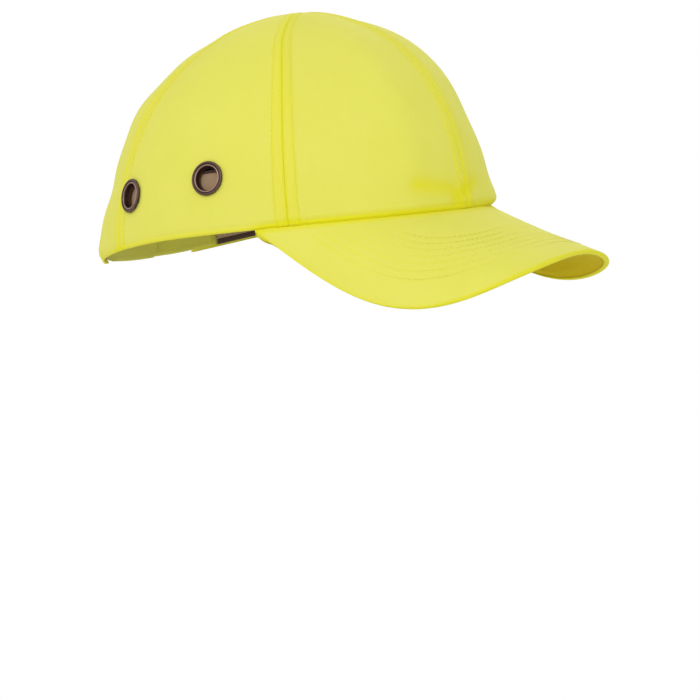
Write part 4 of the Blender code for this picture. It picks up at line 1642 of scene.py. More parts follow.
# ---- Peak ----
@dataclass
class Peak:
    """The stitched peak: a cloth top that wraps the edge, an under cover and a stiffener."""

    shape: CapShape
    wardrobe: Wardrobe
    sewing: Sewing
    spread: float = math.radians(69.7)
    reach: float = 61.7 * MM
    side_power: float = 2.66
    nose_power: float = 3.20
    slope: float = math.radians(24.9)
    slope_sides: float = math.radians(15.8)
    draw_in: float = 1.25
    root: float = 3.0 * MM
    turn: float = 9.0 * MM
    least: float = 1.2 * MM
    cloth: float = 0.8 * MM
    total: float = 4.0 * MM
    gap: float = 0.3 * MM
    edge_total: float = 2.6 * MM
    root_total: float = 1.95 * MM
    edge_taper: float = 10.0 * MM
    lift: float = 1.7 * MM
    lift_reach: tuple[float, float] = (28.0 * MM, 64.0 * MM)
    lift_right: tuple[float, float] = (-0.85, -0.45)
    lift_left: tuple[float, float] = (0.3, 0.8)
    left_lift: float = 0.15
    board_thick: float = 1.3 * MM
    board_inset: float = 4.0 * MM
    board_flat: float = 100.0 * MM
    first_row: float = 15.0 * MM
    row_pitch: float = 4.5 * MM
    rows: int = 7
    row_sink: float = 0.08 * MM
    row_width: float = 0.75 * MM
    row_stitch: float = 2.9 * MM
    swell: float = 0.25 * MM
    joined: float = 0.36 * MM
    shade_row: float = 0.30
    shade_root: float = 0.85
    shade_rim: float = 0.35
    shade_edge: float = 0.8
    shade_tuck: float = 0.6
    wrap: float = 2.3 * MM
    columns: int = 161

    def width(self, share: Array) -> Array:
        """The peak's reach in front of the rim, by a share of its spread from -1 to 1.

        Args:
            share: Shares of the peak's spread, from -1 to 1.

        Returns:
            The width at each share.
        """
        azimuth = share * self.spread
        across = np.abs(np.sin(azimuth) / math.sin(self.spread))
        length = self.shape.front * (1.0 - math.cos(self.spread)) + self.reach
        nose = np.maximum(1.0 - across**self.side_power, 0.0) ** (1.0 / self.nose_power)
        ahead = self.shape.front * (np.cos(azimuth) - math.cos(self.spread))
        return np.maximum(length * nose - ahead, self.least)

    def face(self, share: Array, reach: Array) -> Array:
        """Points of the smooth upper face, a distance in front of the rim.

        Args:
            share: Shares of the peak's spread, from -1 to 1.
            reach: Distances in front of the rim.

        Returns:
            The points.
        """
        share, reach = np.broadcast_arrays(share, reach)
        azimuth = share * self.spread
        root = self.shape.face(azimuth, 0.0)
        hidden = root - self.shape.normal(azimuth, 0.0) * np.maximum(-reach, 0.0)[..., None]
        ahead = np.maximum(reach, 0.0)
        slope = self.slope + self.slope_sides * share * share
        raised = self.lift * smooth(ahead, *self.lift_reach) * (
            smooth(share, *self.lift_right) + self.left_lift * smooth(share, *self.lift_left))
        return np.stack([
            hidden[..., 0] - self.draw_in * ahead * root[..., 0],
            hidden[..., 1] - ahead,
            root[..., 2] - self.gap - np.tan(slope) * ahead + raised], axis=-1)

    def upward(self, share: Array, reach: Array) -> Array:
        """The way up from the face, which turns from straight up at the root.

        Args:
            share: Shares of the peak's spread, from -1 to 1.
            reach: Distances in front of the rim.

        Returns:
            A unit vector for each point.
        """
        share, reach = np.broadcast_arrays(share, reach)
        ahead = np.maximum(reach, 0.05 * MM)
        across = self.face(share + 0.002, ahead) - self.face(share - 0.002, ahead)
        forward = self.face(share, ahead + 0.1 * MM) - self.face(share, ahead)
        square = unit(np.cross(across, forward))
        square = np.where(square[..., 2:] < 0.0, -square, square)
        turned = np.clip(reach / self.turn, 0.0, 1.0)[..., None]
        return unit(turned * square + (1.0 - turned) * UP)

    def point(self, share: Array, reach: Array, depth: Array | float) -> Array:
        """Points at a depth below the upper face."""
        depth = np.broadcast_to(depth, np.broadcast(share, reach).shape)
        return self.face(share, reach) - depth[..., None] * self.upward(share, reach)

    def underside(self, width: Array, reach: Array) -> Array:
        """How deep the peak's lower face lies: it thins towards its edge and its seam.

        Args:
            width: The peak's width at each share.
            reach: Distances in front of the rim.

        Returns:
            The depth below the upper face.
        """
        thinner = smooth(reach, width - self.edge_taper, width - 2.0 * MM)
        thinner = thinner * smooth(reach, 2.0 * MM, 12.0 * MM)
        pinched = 1.0 - smooth(reach, -self.root, 2.0 * self.root)
        return self.total - (self.total - self.edge_total) * thinner - (
            self.total - self.root_total) * pinched

    def flat(self, share: Array, run: Array) -> Array:
        """Where points lie on the flat cloth: round the rim, and along the peak."""
        arc = share * self.spread * self.shape.front
        return np.stack(np.broadcast_arrays(arc, run), axis=-1)

    def edge_distance(self, points: Array) -> Array:
        """How far each point lies from the peak's outline."""
        shares = crowded(700)
        return gap_to_line(points, self.face(shares, self.width(shares)))

    def row_distances(self) -> Array:
        """How far each row of stitches runs from the edge."""
        return self.first_row + self.row_pitch * np.arange(self.rows)

    def quilt(self, share: Array, reach: Array) -> tuple[Array, Array]:
        """How far the rows of stitches sink the cloth, and the rim's nearness.

        Args:
            share: Shares of the spread.
            reach: Distances in front of the rim.

        Returns:
            The sunk depth, and how close each point is to a row, from 0 to 1.
        """
        gap = self.edge_distance(self.face(share, reach))
        ahead = smooth(reach, 4.0 * MM, 8.0 * MM)
        near = sum(hump(gap - row, self.row_width) for row in self.row_distances()) * ahead
        return self.row_sink * near, near

    def stations(self, width: Array, count: int) -> Array:
        """Distances from the hidden root to where the rolled edge starts.

        Args:
            width: The peak's width at each share.
            count: How many lie ahead of the seam.

        Returns:
            The distances, stations by shares.
        """
        flat_end = width - np.minimum(self.edge_total / 2.0, 0.5 * width)
        root = np.array([-1.0, -0.5, 0.0])[:, None] * self.root * np.ones_like(width)
        near = np.array([0.5, 1.0, 1.6, 2.4, 3.4])[:, None] * MM
        near = np.minimum(near, flat_end * np.linspace(0.1, 0.5, 5)[:, None])
        ahead = near[-1] + (flat_end - near[-1]) * np.linspace(0.0, 1.0, count)[1:, None]
        return np.concatenate([root, near, ahead])

    def top_cover(self) -> Piece:
        """The cloth top, which wraps round the edge to a seam underneath.

        Returns:
            The cover.
        """
        share = crowded(self.columns)
        width = self.width(share)
        reach = self.stations(width, 84)
        sink, near = self.quilt(share, reach)
        swell = self.swell * np.sin(share * 7.0 + 0.8) * np.sin(reach / (13.0 * MM))
        joined = self.joined * (1.0 - smooth(reach, 0.3 * MM, 3.0 * MM))
        top = self.point(share, reach, sink - joined - swell * smooth(reach, 2.0 * MM, 20.0 * MM))
        top_in = self.point(share, reach, self.cloth)
        edge = self.underside(width, width)
        half = edge / 2.0
        nose = np.minimum(half, 0.5 * width)
        angles = np.radians(np.linspace(78.0, -90.0, 13))[:, None]
        round_reach = width - nose + nose * np.cos(angles)
        roll = self.point(share, round_reach, half - half * np.sin(angles))
        small, thin = np.maximum(nose - self.cloth, 0.15 * nose), half - self.cloth
        roll_in = self.point(share, width - nose + small * np.cos(angles),
                             half - thin * np.sin(angles))
        back = np.array([0.35, 0.7, 1.0])[:, None] * np.minimum(self.wrap - nose, 0.3 * width)
        lip = np.array([0.0, 0.06, 0.30])[:, None] * MM
        hem_reach = width - nose - back
        deep = self.underside(width, hem_reach) - lip
        hem = self.point(share, hem_reach, deep)
        hem_in = self.point(share, hem_reach, deep - 0.55 * self.cloth)
        outer = np.concatenate([top, roll, hem])
        inner = np.concatenate([top_in, roll_in, hem_in])
        steps = np.linalg.norm(np.diff(outer, axis=0), axis=-1)
        run = np.concatenate([np.zeros((1, self.columns)), np.cumsum(steps, axis=0)])
        flat = self.flat(share, run)
        # painted shade: a deeper colour on the rolled edge and its hem, over the stitch rows, at
        # the root and by the rim
        crease = np.full(run.shape, self.shade_edge)
        at_root = 1.0 - smooth(reach, 0.2 * MM, 3.8 * MM)
        edge = self.edge_distance(self.face(share, reach))
        at_edge = 1.0 - smooth(edge, 0.6 * MM, 3.0 * MM)
        crease[:len(reach)] = (self.shade_row * near + self.shade_root * at_root
                               + self.shade_rim * at_edge)
        marks = {"crease": np.clip(crease, 0.0, 1.0)}
        return make_sheet("peak_top_cloth", outer, inner, self.wardrobe.cloth, flat, marks,
                          edge_angle=60.0)

    def under_cover(self) -> Piece:
        """The cloth underneath, tucked in under the wrapped edge.

        Returns:
            The cover.
        """
        share = crowded(self.columns)
        width = self.width(share)
        inset = np.minimum(self.wrap * 0.85, 0.62 * width)
        reach = self.stations(width, 70)
        reach = np.where(reach > 0.0, reach * (width - inset) / reach[-1], reach)
        sink, near = self.quilt(share, reach)
        tuck = 0.45 * MM * smooth(reach, width - inset - 1.2 * MM, width - inset)
        deep = self.underside(width, reach)
        outer = self.point(share, reach, deep - 0.28 * MM - sink - tuck)
        inner = self.point(share, reach, deep - self.cloth - 0.1 * MM - tuck * 0.5)
        flat = self.flat(share, reach)
        at_edge = smooth(reach, width - inset - 2.0 * MM, width - inset)
        # painted shade: a deeper colour over the stitch rows and where the cloth tucks under the
        # edge
        crease = self.shade_row * near + self.shade_tuck * at_edge
        marks = {"crease": np.clip(crease, 0.0, 1.0)}
        return make_sheet("peak_under_cloth", outer, inner, self.wardrobe.under_cloth, flat,
                          marks, edge_angle=60.0)

    def board(self) -> Piece:
        """The stiffener between the two cloths.

        Returns:
            The board.
        """
        share = 0.97 * crowded(81)
        width = self.width(share) - self.board_inset
        reach = np.linspace(0.04, 1.0, 28)[:, None] * width
        flat = np.stack(np.broadcast_arrays(share * self.board_flat, reach), axis=-1)
        top = self.cloth + 0.12 * MM
        return make_sheet("peak_stiffener", self.point(share, reach, top),
                          self.point(share, reach, top + self.board_thick),
                          self.wardrobe.board, flat)

    def row_lines(self, under: bool) -> list[Line]:
        """The rows of stitches on one face.

        Args:
            under: Whether it is the lower face.

        Returns:
            The lines.
        """
        share = crowded(241)
        width = self.width(share)
        reach = np.linspace(0.02, 0.995, 260)[:, None] * width
        gap = self.edge_distance(self.face(share, reach))
        lines = []
        for row in self.row_distances():
            run_share, run_reach = [], []
            for k in range(len(share)):
                inside = np.nonzero(gap[:, k] >= row)[0]
                if len(inside) and reach[inside[-1], k] > 6.0 * MM:
                    run_share.append(share[k])
                    run_reach.append(reach[inside[-1], k])
            if len(run_share) > 3:
                at = np.array(run_share), np.array(run_reach)
                depth = (self.underside(self.width(at[0]), at[1]) - 0.33 * MM if under
                         else 0.02 * MM)
                outward = self.upward(*at) * (-1.0 if under else 1.0)
                lines.append(Line(self.point(*at, depth), outward))
        return lines

    def build(self) -> None:
        """Make every piece of the peak."""
        top = seat(self.top_cover(), Body.CAP, Slot.CLOTH, "peak_top_cover")
        under = seat(self.under_cover(), Body.CAP, Slot.CLOTH, "peak_under_cover")
        for cover in (top, under):
            declare_cloth(cover)
        for name, under_side in (("peak_top_stitches", False), ("peak_under_stitches", True)):
            thread = self.wardrobe.thread if under_side else self.wardrobe.pale_thread
            rows = self.sewing.sew(name, self.row_lines(under_side), thread, self.row_stitch)
            seat(rows, Body.CAP, Slot.CLOTH)
        seat(self.board(), Body.CAP, Slot.BOARD, "peak_board")


# ---- Sweatband ----
@dataclass
class Sweatband:
    """The brushed band round the head opening, with a brown bound edge above and below."""

    relief: Relief
    wardrobe: Wardrobe
    sewing: Sewing
    low: float = 1.5 * MM
    high: float = 33.0 * MM
    lean: float = 1.6 * MM
    lean_height: float = 11.0 * MM
    thick: float = 1.4 * MM
    end_half: float = 51.0 * MM
    stitch_height: float = 5.0 * MM
    binding_height: float = 3.2 * MM
    piping_radius: float = 1.05 * MM
    swell: float = 0.35 * MM
    swells: float = 26.0

    def depth(self, height: Array) -> Array:
        """How deep the band's outer face lies."""
        return self.relief.shape.lining + self.lean * smooth(
            height, self.low, self.low + self.lean_height)

    def run(self, height: float, count: int = 260) -> Array:
        """Azimuths from one end of the band to the other."""
        end = float(self.relief.shape.azimuth_at_x(height, self.end_half))
        return np.linspace(-end, end, count)

    def build(self) -> None:
        """Make the band, its piping, its bound edge and its stitches."""
        shape = self.relief.shape
        azimuths = self.run(self.low)[None, :]
        heights = np.concatenate([
            np.linspace(self.low, 8.0 * MM, 14), np.linspace(9.0 * MM, self.high, 20)])[:, None]
        azimuths, heights = np.broadcast_arrays(azimuths, heights)
        depth = self.depth(heights)
        seam = hump(heights - self.stitch_height, 0.8 * MM)
        swell = self.swell * np.sin(azimuths * self.swells) * plateau(
            heights, 7.0 * MM, 14.0 * MM, 26.0 * MM, self.high)
        outer = self.relief.inside(azimuths, heights, depth)
        inner = self.relief.inside(azimuths, heights,
                                   depth + self.thick - 0.35 * MM * seam + 0.4 * swell)
        flat = np.stack([azimuths * 0.1, heights], axis=-1)
        band = make_sheet("sweatband_cloth", outer, inner, self.wardrobe.band, flat)
        seat(band, Body.CAP, Slot.BAND, "sweatband")
        line = self.run(self.low)
        top = np.full_like(line, self.high)
        centre = self.relief.inside(line, top, self.depth(top) + self.thick / 2.0)
        piping = self.sewing.lay("sweatband_piping", [Line(centre, shape.normal(line, top))],
                                 self.piping_radius, self.wardrobe.piping, 10)
        seat(piping, Body.CAP, Slot.BAND)
        angles = circle(14)
        middle = self.low + self.binding_height / 2.0 - 0.3 * MM
        rise = middle + self.binding_height / 2.0 * signed_power(np.sin(angles), 0.6)
        inward = self.thick / 2.0 + (self.thick / 2.0 + 0.22 * MM) * signed_power(
            np.cos(angles), 0.6)
        ring_a, ring_h = np.broadcast_arrays(line[:, None], rise[None, :])
        sections = self.relief.inside(ring_a, ring_h, self.depth(ring_h) + inward)
        seat(make_tube("sweatband_bound_edge", sections, self.wardrobe.piping), Body.CAP,
             Slot.BAND)
        level = np.full_like(line, self.stitch_height + 0.6 * MM)
        sewn = self.relief.inside(line, level, self.depth(level) + self.thick - 0.2 * MM)
        stitches = self.sewing.sew("sweatband_stitches", [Line(sewn, -shape.normal(line, level))],
                                   self.wardrobe.brown_thread)
        seat(stitches, Body.CAP, Slot.BAND)


# ---- Rear closure ----
@dataclass
class RearClosure:
    """The bound arch and the hook-and-loop strap across it."""

    relief: Relief
    wardrobe: Wardrobe
    sewing: Sewing
    arch_half_width: float = 38.0 * MM
    arch_height: float = 46.0 * MM
    binding_width: float = 4.3 * MM
    binding_proud: float = 0.6 * MM
    low: float = 1.5 * MM
    high: float = 22.5 * MM
    thick: float = 1.4 * MM
    patch_thick: float = 0.8 * MM
    patch_edge: float = 1.5 * MM
    gap: float = 0.3 * MM
    hinge: float = 29.0 * MM
    free_end: float = 27.0 * MM
    tab_end: float = 13.0 * MM
    sewn_end: float = 48.0 * MM
    corner: float = 3.5 * MM
    box_stitch: float = 2.6 * MM
    edge_share: float = 0.42
    end_share: float = 0.75

    def __post_init__(self) -> None:
        """Work out the depths of the layers, from the tab outwards."""
        self.tab_depth = self.relief.shape.cloth + self.gap + self.binding_proud
        self.loop_depth = self.tab_depth - self.gap - self.patch_thick
        self.hook_depth = self.loop_depth - self.gap - self.patch_thick
        self.strap_depth = self.hook_depth - self.gap - self.thick

    def depth_of_strap(self, x: Array) -> Array:
        """The strap's outer face: level with its sewn end at the hinge, outside beyond."""
        share = smooth(self.hinge - x, 0.0, self.hinge - self.tab_end - 2.0 * MM)
        return self.tab_depth + (self.strap_depth - self.tab_depth) * share

    def at(self, x: Array, height: Array, depth: Array | float) -> Array:
        """Points on the cap's back."""
        azimuth = self.relief.shape.azimuth_at_x(height, x)
        return self.relief.inside(azimuth, height, depth)

    def out(self, x: Array, height: Array) -> Array:
        """The way out of the cap's back."""
        return self.relief.shape.normal(self.relief.shape.azimuth_at_x(height, x), height)

    @staticmethod
    def even(depth: float) -> Callable[[Array], Array]:
        """A face that lies at one depth all along."""
        return lambda x: np.full_like(x, depth)

    def strip(self, name: str, ends: tuple[float, float], depth_at: Callable[[Array], Array],
              thick: float, edge: float, rounded: tuple[bool, bool],
              material: Material) -> Piece:
        """A flat strip across the back.

        Args:
            name: Its name.
            ends: The x of its two ends.
            depth_at: How deep its outer face lies at an x.
            thick: Its thickness.
            edge: How far it is narrower than the webbing, on each side.
            rounded: Whether each end has rounded corners.
            material: Its finish.

        Returns:
            The strip.
        """
        count = max(24, int(abs(ends[1] - ends[0]) / (0.7 * MM)))
        x = np.linspace(*ends, count)
        inset = np.zeros(count)
        for end, is_rounded in zip(ends, rounded):
            if is_rounded:
                near = np.clip(self.corner - np.abs(x - end), 0.0, self.corner)
                inset += self.corner - np.sqrt(self.corner**2 - near**2 * 0.98)
        low, high = self.low + edge + inset, self.high - edge - inset
        across = np.linspace(0.0, 1.0, 22)
        heights = low[:, None] + (high - low)[:, None] * across
        side = np.minimum(heights - low[:, None], high[:, None] - heights)
        body = thick * (self.edge_share + (1.0 - self.edge_share) * smooth(side, 0.0, 1.1 * MM))
        from_end = np.minimum(np.abs(x - ends[0]), np.abs(x - ends[1]))[:, None]
        body = body * (self.end_share + (1.0 - self.end_share) * smooth(from_end, 0.0, 1.0 * MM))
        x_grid = np.broadcast_to(x[:, None], heights.shape)
        face = depth_at(x_grid) + (thick - body) / 2.0
        outer = self.at(x_grid, heights, face)
        inner = self.at(x_grid, heights, face + body)
        sections = np.concatenate([outer, inner[:, ::-1]], axis=1)
        flat = np.stack([x_grid, heights], axis=-1)
        flat = np.concatenate([flat, flat[:, ::-1]], axis=1)
        return make_tube(name, sections, material, flat, edge_angle=60.0)

    def box(self, left: float, right: float, low: float, high: float,
            depth_at: Callable[[Array], Array], facing: float, cross: bool = False
            ) -> list[Line]:
        """A box of stitches, with a cross in it if asked.

        Args:
            left: The x of one side.
            right: The x of the other side.
            low: The lower side's height.
            high: The upper side's height.
            depth_at: How deep the stitched face lies at an x.
            facing: 1 on an outer face, -1 on an inner one.
            cross: Whether two diagonals are sewn as well.

        Returns:
            The lines.
        """
        corners = [(left, low), (right, low), (right, high), (left, high), (left, low)]
        runs = list(zip(corners, corners[1:]))
        if cross:
            runs += [((left, low), (right, high)), ((left, high), (right, low))]
        lines = []
        for start, end in runs:
            share = np.linspace(0.0, 1.0, 24)
            x = start[0] + (end[0] - start[0]) * share
            height = start[1] + (end[1] - start[1]) * share
            lines.append(Line(self.at(x, height, depth_at(x)), facing * self.out(x, height)))
        return lines

    def bristle(self, name: str, left: float, right: float, depth: float, facing: float,
                body: Body, seed: int) -> None:
        """Bristles on a patch, facing out (1) or in (-1).

        Args:
            name: The new piece's name.
            left: The x of one end of the patch.
            right: The x of its other end.
            depth: How deep its face lies.
            facing: 1 on an outer face, -1 on an inner one.
            body: The body that it moves with.
            seed: The seed of their places.
        """
        edge = self.patch_edge + 0.8 * MM
        x = np.linspace(left, right, 30)[::int(-facing)]
        height = np.linspace(self.low + edge, self.high - edge, 14)[:, None]
        x, height = np.broadcast_arrays(x, height)
        face = self.at(x, height, depth)
        seat(self.sewing.scatter(name, face, seed, self.wardrobe.bristle), body, Slot.GRIP)

    def binding(self) -> None:
        """The bound edge that follows the arch from rim to rim."""
        turns = np.linspace(-math.pi / 2.0, math.pi / 2.0, 150)[:, None]
        angles = circle(20)
        half = self.binding_width / 2.0
        inset = half + half * signed_power(np.cos(angles), 0.55)
        middle = self.relief.shape.cloth / 2.0
        depth = middle + (middle + self.binding_proud) * signed_power(np.sin(angles), 0.6)
        height = (self.arch_height + inset) * np.cos(turns)
        x = (self.arch_half_width + inset) * np.sin(turns)
        sections = self.at(x, np.maximum(height, 0.0), np.broadcast_to(depth, x.shape))
        run = np.broadcast_to(turns * 60.0 * MM, x.shape)
        girth = np.broadcast_to(angles * 2.0 * MM, x.shape)
        # painted shade: a deeper colour all along the bound edge, deepest on the side that meets
        # the gores
        marks = {"crease": np.broadcast_to(0.25 + 0.35 * (np.cos(angles) > 0.8), x.shape)}
        edge = make_tube("arch_bound_edge", sections, self.wardrobe.cloth,
                         np.stack([girth, run], axis=-1), marks, 60.0)
        seat(edge, Body.CAP, Slot.CLOTH, "arch_binding")
        lines = []
        turn = np.linspace(-1.54, 1.54, 120)
        for proud, facing in ((-self.binding_proud, 1.0),
                              (self.relief.shape.cloth + self.binding_proud, -1.0)):
            height = (self.arch_height + 2.6 * MM) * np.cos(turn)
            x = (self.arch_half_width + 2.6 * MM) * np.sin(turn)
            lines.append(Line(self.at(x, height, proud), facing * self.out(x, height)))
        seat(self.sewing.sew("arch_edge_stitches", lines, self.wardrobe.thread), Body.CAP,
             Slot.CLOTH)

    def build(self) -> None:
        """Make every piece of the closure."""
        self.binding()
        cloth = self.wardrobe
        edge = self.patch_edge
        tab = self.strip("tab_webbing", (-self.sewn_end, self.tab_end),
                         self.even(self.tab_depth), self.thick, 0.0, (False, True),
                         cloth.webbing)
        declare_cloth(seat(tab, Body.CAP, Slot.WEBBING, "strap_tab_right"))
        patch_ends = (-self.free_end + edge, self.tab_end - edge)
        for word, depth, body in (("loop", self.loop_depth, Body.CAP),
                                  ("hook", self.hook_depth, Body.STRAP)):
            patch = self.strip(f"{word}_tape", patch_ends, self.even(depth), self.patch_thick,
                               edge, (False, False), cloth.grip)
            seat(patch, body, Slot.GRIP, f"strap_{word}_patch")
        self.bristle("loop_pile", *patch_ends, self.loop_depth, 1.0, Body.CAP, 11)
        self.bristle("hook_pile", *patch_ends, self.hook_depth + self.patch_thick, -1.0,
                     Body.STRAP, 12)
        self.swinging_strap()
        lines = self.box(patch_ends[0] + 1.0 * MM, patch_ends[1] - 1.0 * MM, self.low + 2.6 * MM,
                         self.high - 2.6 * MM, lambda x: self.depth_of_strap(x) + 0.05 * MM, 1.0)
        seat(self.sewing.sew("strap_stitches", lines, cloth.thread, self.box_stitch), Body.STRAP,
             Slot.WEBBING)
        lines = []
        sewn = self.arch_half_width + self.binding_width + 1.4 * MM, self.sewn_end - 0.8 * MM
        for sign in (-1.0, 1.0):
            lines += self.box(sign * sewn[0], sign * sewn[1], self.low + 2.2 * MM,
                              self.high - 2.2 * MM, self.even(-0.12 * MM), 1.0, True)
        stitches = self.sewing.sew("closure_box_stitches", lines, cloth.thread, self.box_stitch)
        seat(stitches, Body.CAP, Slot.CLOTH)

    def swinging_strap(self) -> None:
        """The strap and its sewn end, one webbing whose face steps outwards where it leaves the
        cap.
        """
        strap = self.strip("closure_webbing", (self.sewn_end, -self.free_end),
                           self.depth_of_strap, self.thick, 0.0, (False, True),
                           self.wardrobe.webbing)
        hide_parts("closure_strap", "strap_anchor_left")
        middle = np.array([(self.low + self.high) / 2.0])
        start = self.at(np.array([self.hinge + 3.0 * MM]), middle, self.tab_depth)[0]
        end = self.at(np.array([self.hinge - 6.0 * MM]), middle, self.tab_depth)[0]
        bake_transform(strap)
        declare_cloth(strap)
        LOG.info("%s bends between cap and strap", strap.name)


# ---- Protective insert ----
@dataclass
class ProtectiveInsert:
    """The moulded shell with its air slots, foam pads and hook-and-loop grips."""

    relief: Relief
    wardrobe: Wardrobe
    sewing: Sewing
    depth: float = 5.6 * MM
    wall: float = 2.0 * MM
    band_step: float = 0.25 * MM
    rib_radius: float = 0.75 * MM
    bead_radius: float = 1.15 * MM
    fill: float = 0.7
    low_front: float = 24.0 * MM
    low_rear: float = 54.0 * MM
    slot_width: float = 5.0 * MM
    slot_length: float = 26.0 * MM
    slot_height: float = 63.0 * MM
    slot_azimuths: tuple[float, ...] = (62.0, 84.0, 106.0)
    rib_azimuths: tuple[float, ...] = (12.0, 34.0, 51.0, 73.0, 95.0, 117.0, 134.0, 160.0)
    pad_depth: float = 8.2 * MM
    pad_thick: float = 5.5 * MM
    pads: tuple[tuple[str, str, tuple[float, float], float, float, int], ...] = (
        # name, node, azimuths of its ends, heights of its edges, cells
        ("brow_pad", "pad_front", (-42.0, 42.0), 36.0 * MM, 62.0 * MM, 5),
        ("nape_pad", "pad_rear", (152.0, 208.0), 60.0 * MM, 80.0 * MM, 3),
        ("side_pad_left", "pad_side_left", (60.0, 110.0), 34.0 * MM, 46.0 * MM, 3),
        ("side_pad_right", "pad_side_right", (-110.0, -60.0), 34.0 * MM, 46.0 * MM, 3))
    pad_edge: float = 0.8 * MM
    pad_round: float = 4.5 * MM
    pad_channel: float = 1.1 * MM
    pad_radius: float = 88.0 * MM
    crown_pad: float = 44.0 * MM
    grip: tuple[float, float, float] = (22.0 * MM, 20.0 * MM, 1.4 * MM)
    grip_height: float = 66.0 * MM
    gap: float = 0.3 * MM

    def __post_init__(self) -> None:
        """Take the smooth shape: the insert doesn't follow the cloth's folds."""
        self.shape = self.relief.shape

    def at(self, azimuth: Array, height: Array, depth: Array | float) -> Array:
        """Points at a depth inside the crown's smooth face."""
        return self.shape.offset(*np.broadcast_arrays(azimuth, height, -depth))

    def edge_height(self, azimuth: Array) -> Array:
        """The height of the shell's lower edge."""
        turn = turn_from(azimuth)
        return self.low_front + (self.low_rear - self.low_front) * smooth(
            turn, math.radians(115.0), math.radians(155.0))

    def dome(self, name: str, azimuths: Array, heights: Array, outer: Array, inner: Array,
             material: Material) -> Piece:
        """A closed cap whose rows end at the apex.

        Args:
            name: Its name.
            azimuths: The azimuth of each column.
            heights: The height of each point, rows by columns.
            outer: How deep the outer face is at each point.
            inner: How deep the inner face is at each point.
            material: Its finish.

        Returns:
            The dome.
        """
        rows, columns = heights.shape
        faces, points = [], []
        for side, depth in enumerate((outer, inner)):
            start = side * (rows * columns + 1)
            points += [self.at(azimuths, heights, depth).reshape(-1, 3)]
            apex = self.shape.face(np.array([0.0]), np.array([self.shape.height]))
            points += [apex - np.array([0.0, 0.0, float(np.mean(depth[-1]))])]
            faces += grid_faces(rows, columns, start, True, side == 1)
            top = start + (rows - 1) * columns
            for k in range(columns):
                face = [top + k, top + (k + 1) % columns, start + rows * columns]
                faces.append(face[::-1] if side else face)
        size = rows * columns + 1
        for k in range(columns):
            after = (k + 1) % columns
            faces.append([after, k, size + k, size + after])
        points = np.concatenate(points)
        flat = points[:, :2]
        return make_piece(name, points, faces, material, flat, edge_angle=50.0)

    def shell(self) -> None:
        """The shell, its slots, its ribs and the bead round its edge."""
        azimuths = circle(168)
        low = self.edge_height(azimuths)
        top = self.shape.height_at_radius(azimuths, 2.5 * MM)
        share = 1.0 - (1.0 - np.linspace(0.0, 1.0, 46)[:, None]) ** 1.8
        heights = low + (top - low) * share
        step = self.band_step * smooth(heights - low, 9.0 * MM, 10.5 * MM)
        outer = self.depth + self.band_step - step
        inner = self.depth + self.wall - step * 0.6
        shell = self.dome("shell_moulding", azimuths, heights, outer, inner, self.wardrobe.shell)
        for side in Side:
            for azimuth in self.slot_azimuths:
                shell = self.cut_slot(shell, side.value * math.radians(azimuth))
        seat(shell, Body.INSERT, Slot.SHELL, "bump_shell")
        ribs = []
        for side in Side:
            for azimuth in self.rib_azimuths:
                turn = np.full(40, side.value * math.radians(azimuth))
                start = float(self.edge_height(turn)[0]) + 1.0 * MM
                end = float(self.shape.height_at_radius(turn[0], self.crown_pad - 5.0 * MM))
                level = np.linspace(start, end, 40)
                ribs.append(Line(self.at(turn, level, self.depth + self.wall - 0.35 * MM),
                                 -self.shape.normal(turn, level)))
        rib_piece = self.sewing.lay("shell_ribs", ribs, self.rib_radius, self.wardrobe.shell, 10)
        seat(rib_piece, Body.INSERT, Slot.SHELL)
        ring = np.linspace(0.0, TURN, 260)
        level = self.edge_height(ring)
        bead = Line(self.at(ring, level, self.depth + self.wall / 2.0 + 0.1 * MM),
                    self.shape.normal(ring, level))
        seat(self.sewing.lay("shell_bead", [bead], self.bead_radius, self.wardrobe.shell, 12),
             Body.INSERT, Slot.SHELL)

    def cut_slot(self, shell: Piece, azimuth: float) -> Piece:
        """The shell with one air slot through it.

        Args:
            shell: The shell.
            azimuth: The slot's azimuth.

        Returns:
            The shell.
        """
        at = np.array([azimuth]), np.array([self.slot_height])
        centre, outward = self.shape.face(*at)[0], self.shape.normal(*at)[0]
        across = unit(np.cross(UP, outward))
        up = np.cross(outward, across)
        angles = circle(32)
        straight = (self.slot_length - self.slot_width) / 2.0
        rise = self.slot_width / 2.0 * np.sin(angles) + straight * np.sign(np.sin(angles + 1e-6))
        outline = self.slot_width / 2.0 * np.cos(angles)[:, None] * across + rise[:, None] * up
        rings = np.stack([centre + outline + level * outward for level in (
            -self.depth - self.wall - 4.0 * MM, -self.depth + 3.0 * MM)])
        punch = make_tube("slot_punch", rings, self.wardrobe.shell)
        return punched(shell, punch)

    def puffed(self, edge: Array, groove: Array) -> Array:
        """A pad's thickness, by the distance from its edge and the nearness of a channel."""
        puff = np.sqrt(1.0 - (1.0 - np.clip(edge / self.pad_round, 0.0, 1.0)) ** 2)
        return self.pad_edge + (self.pad_thick - self.pad_edge) * puff * (1.0 - 0.5 * groove)

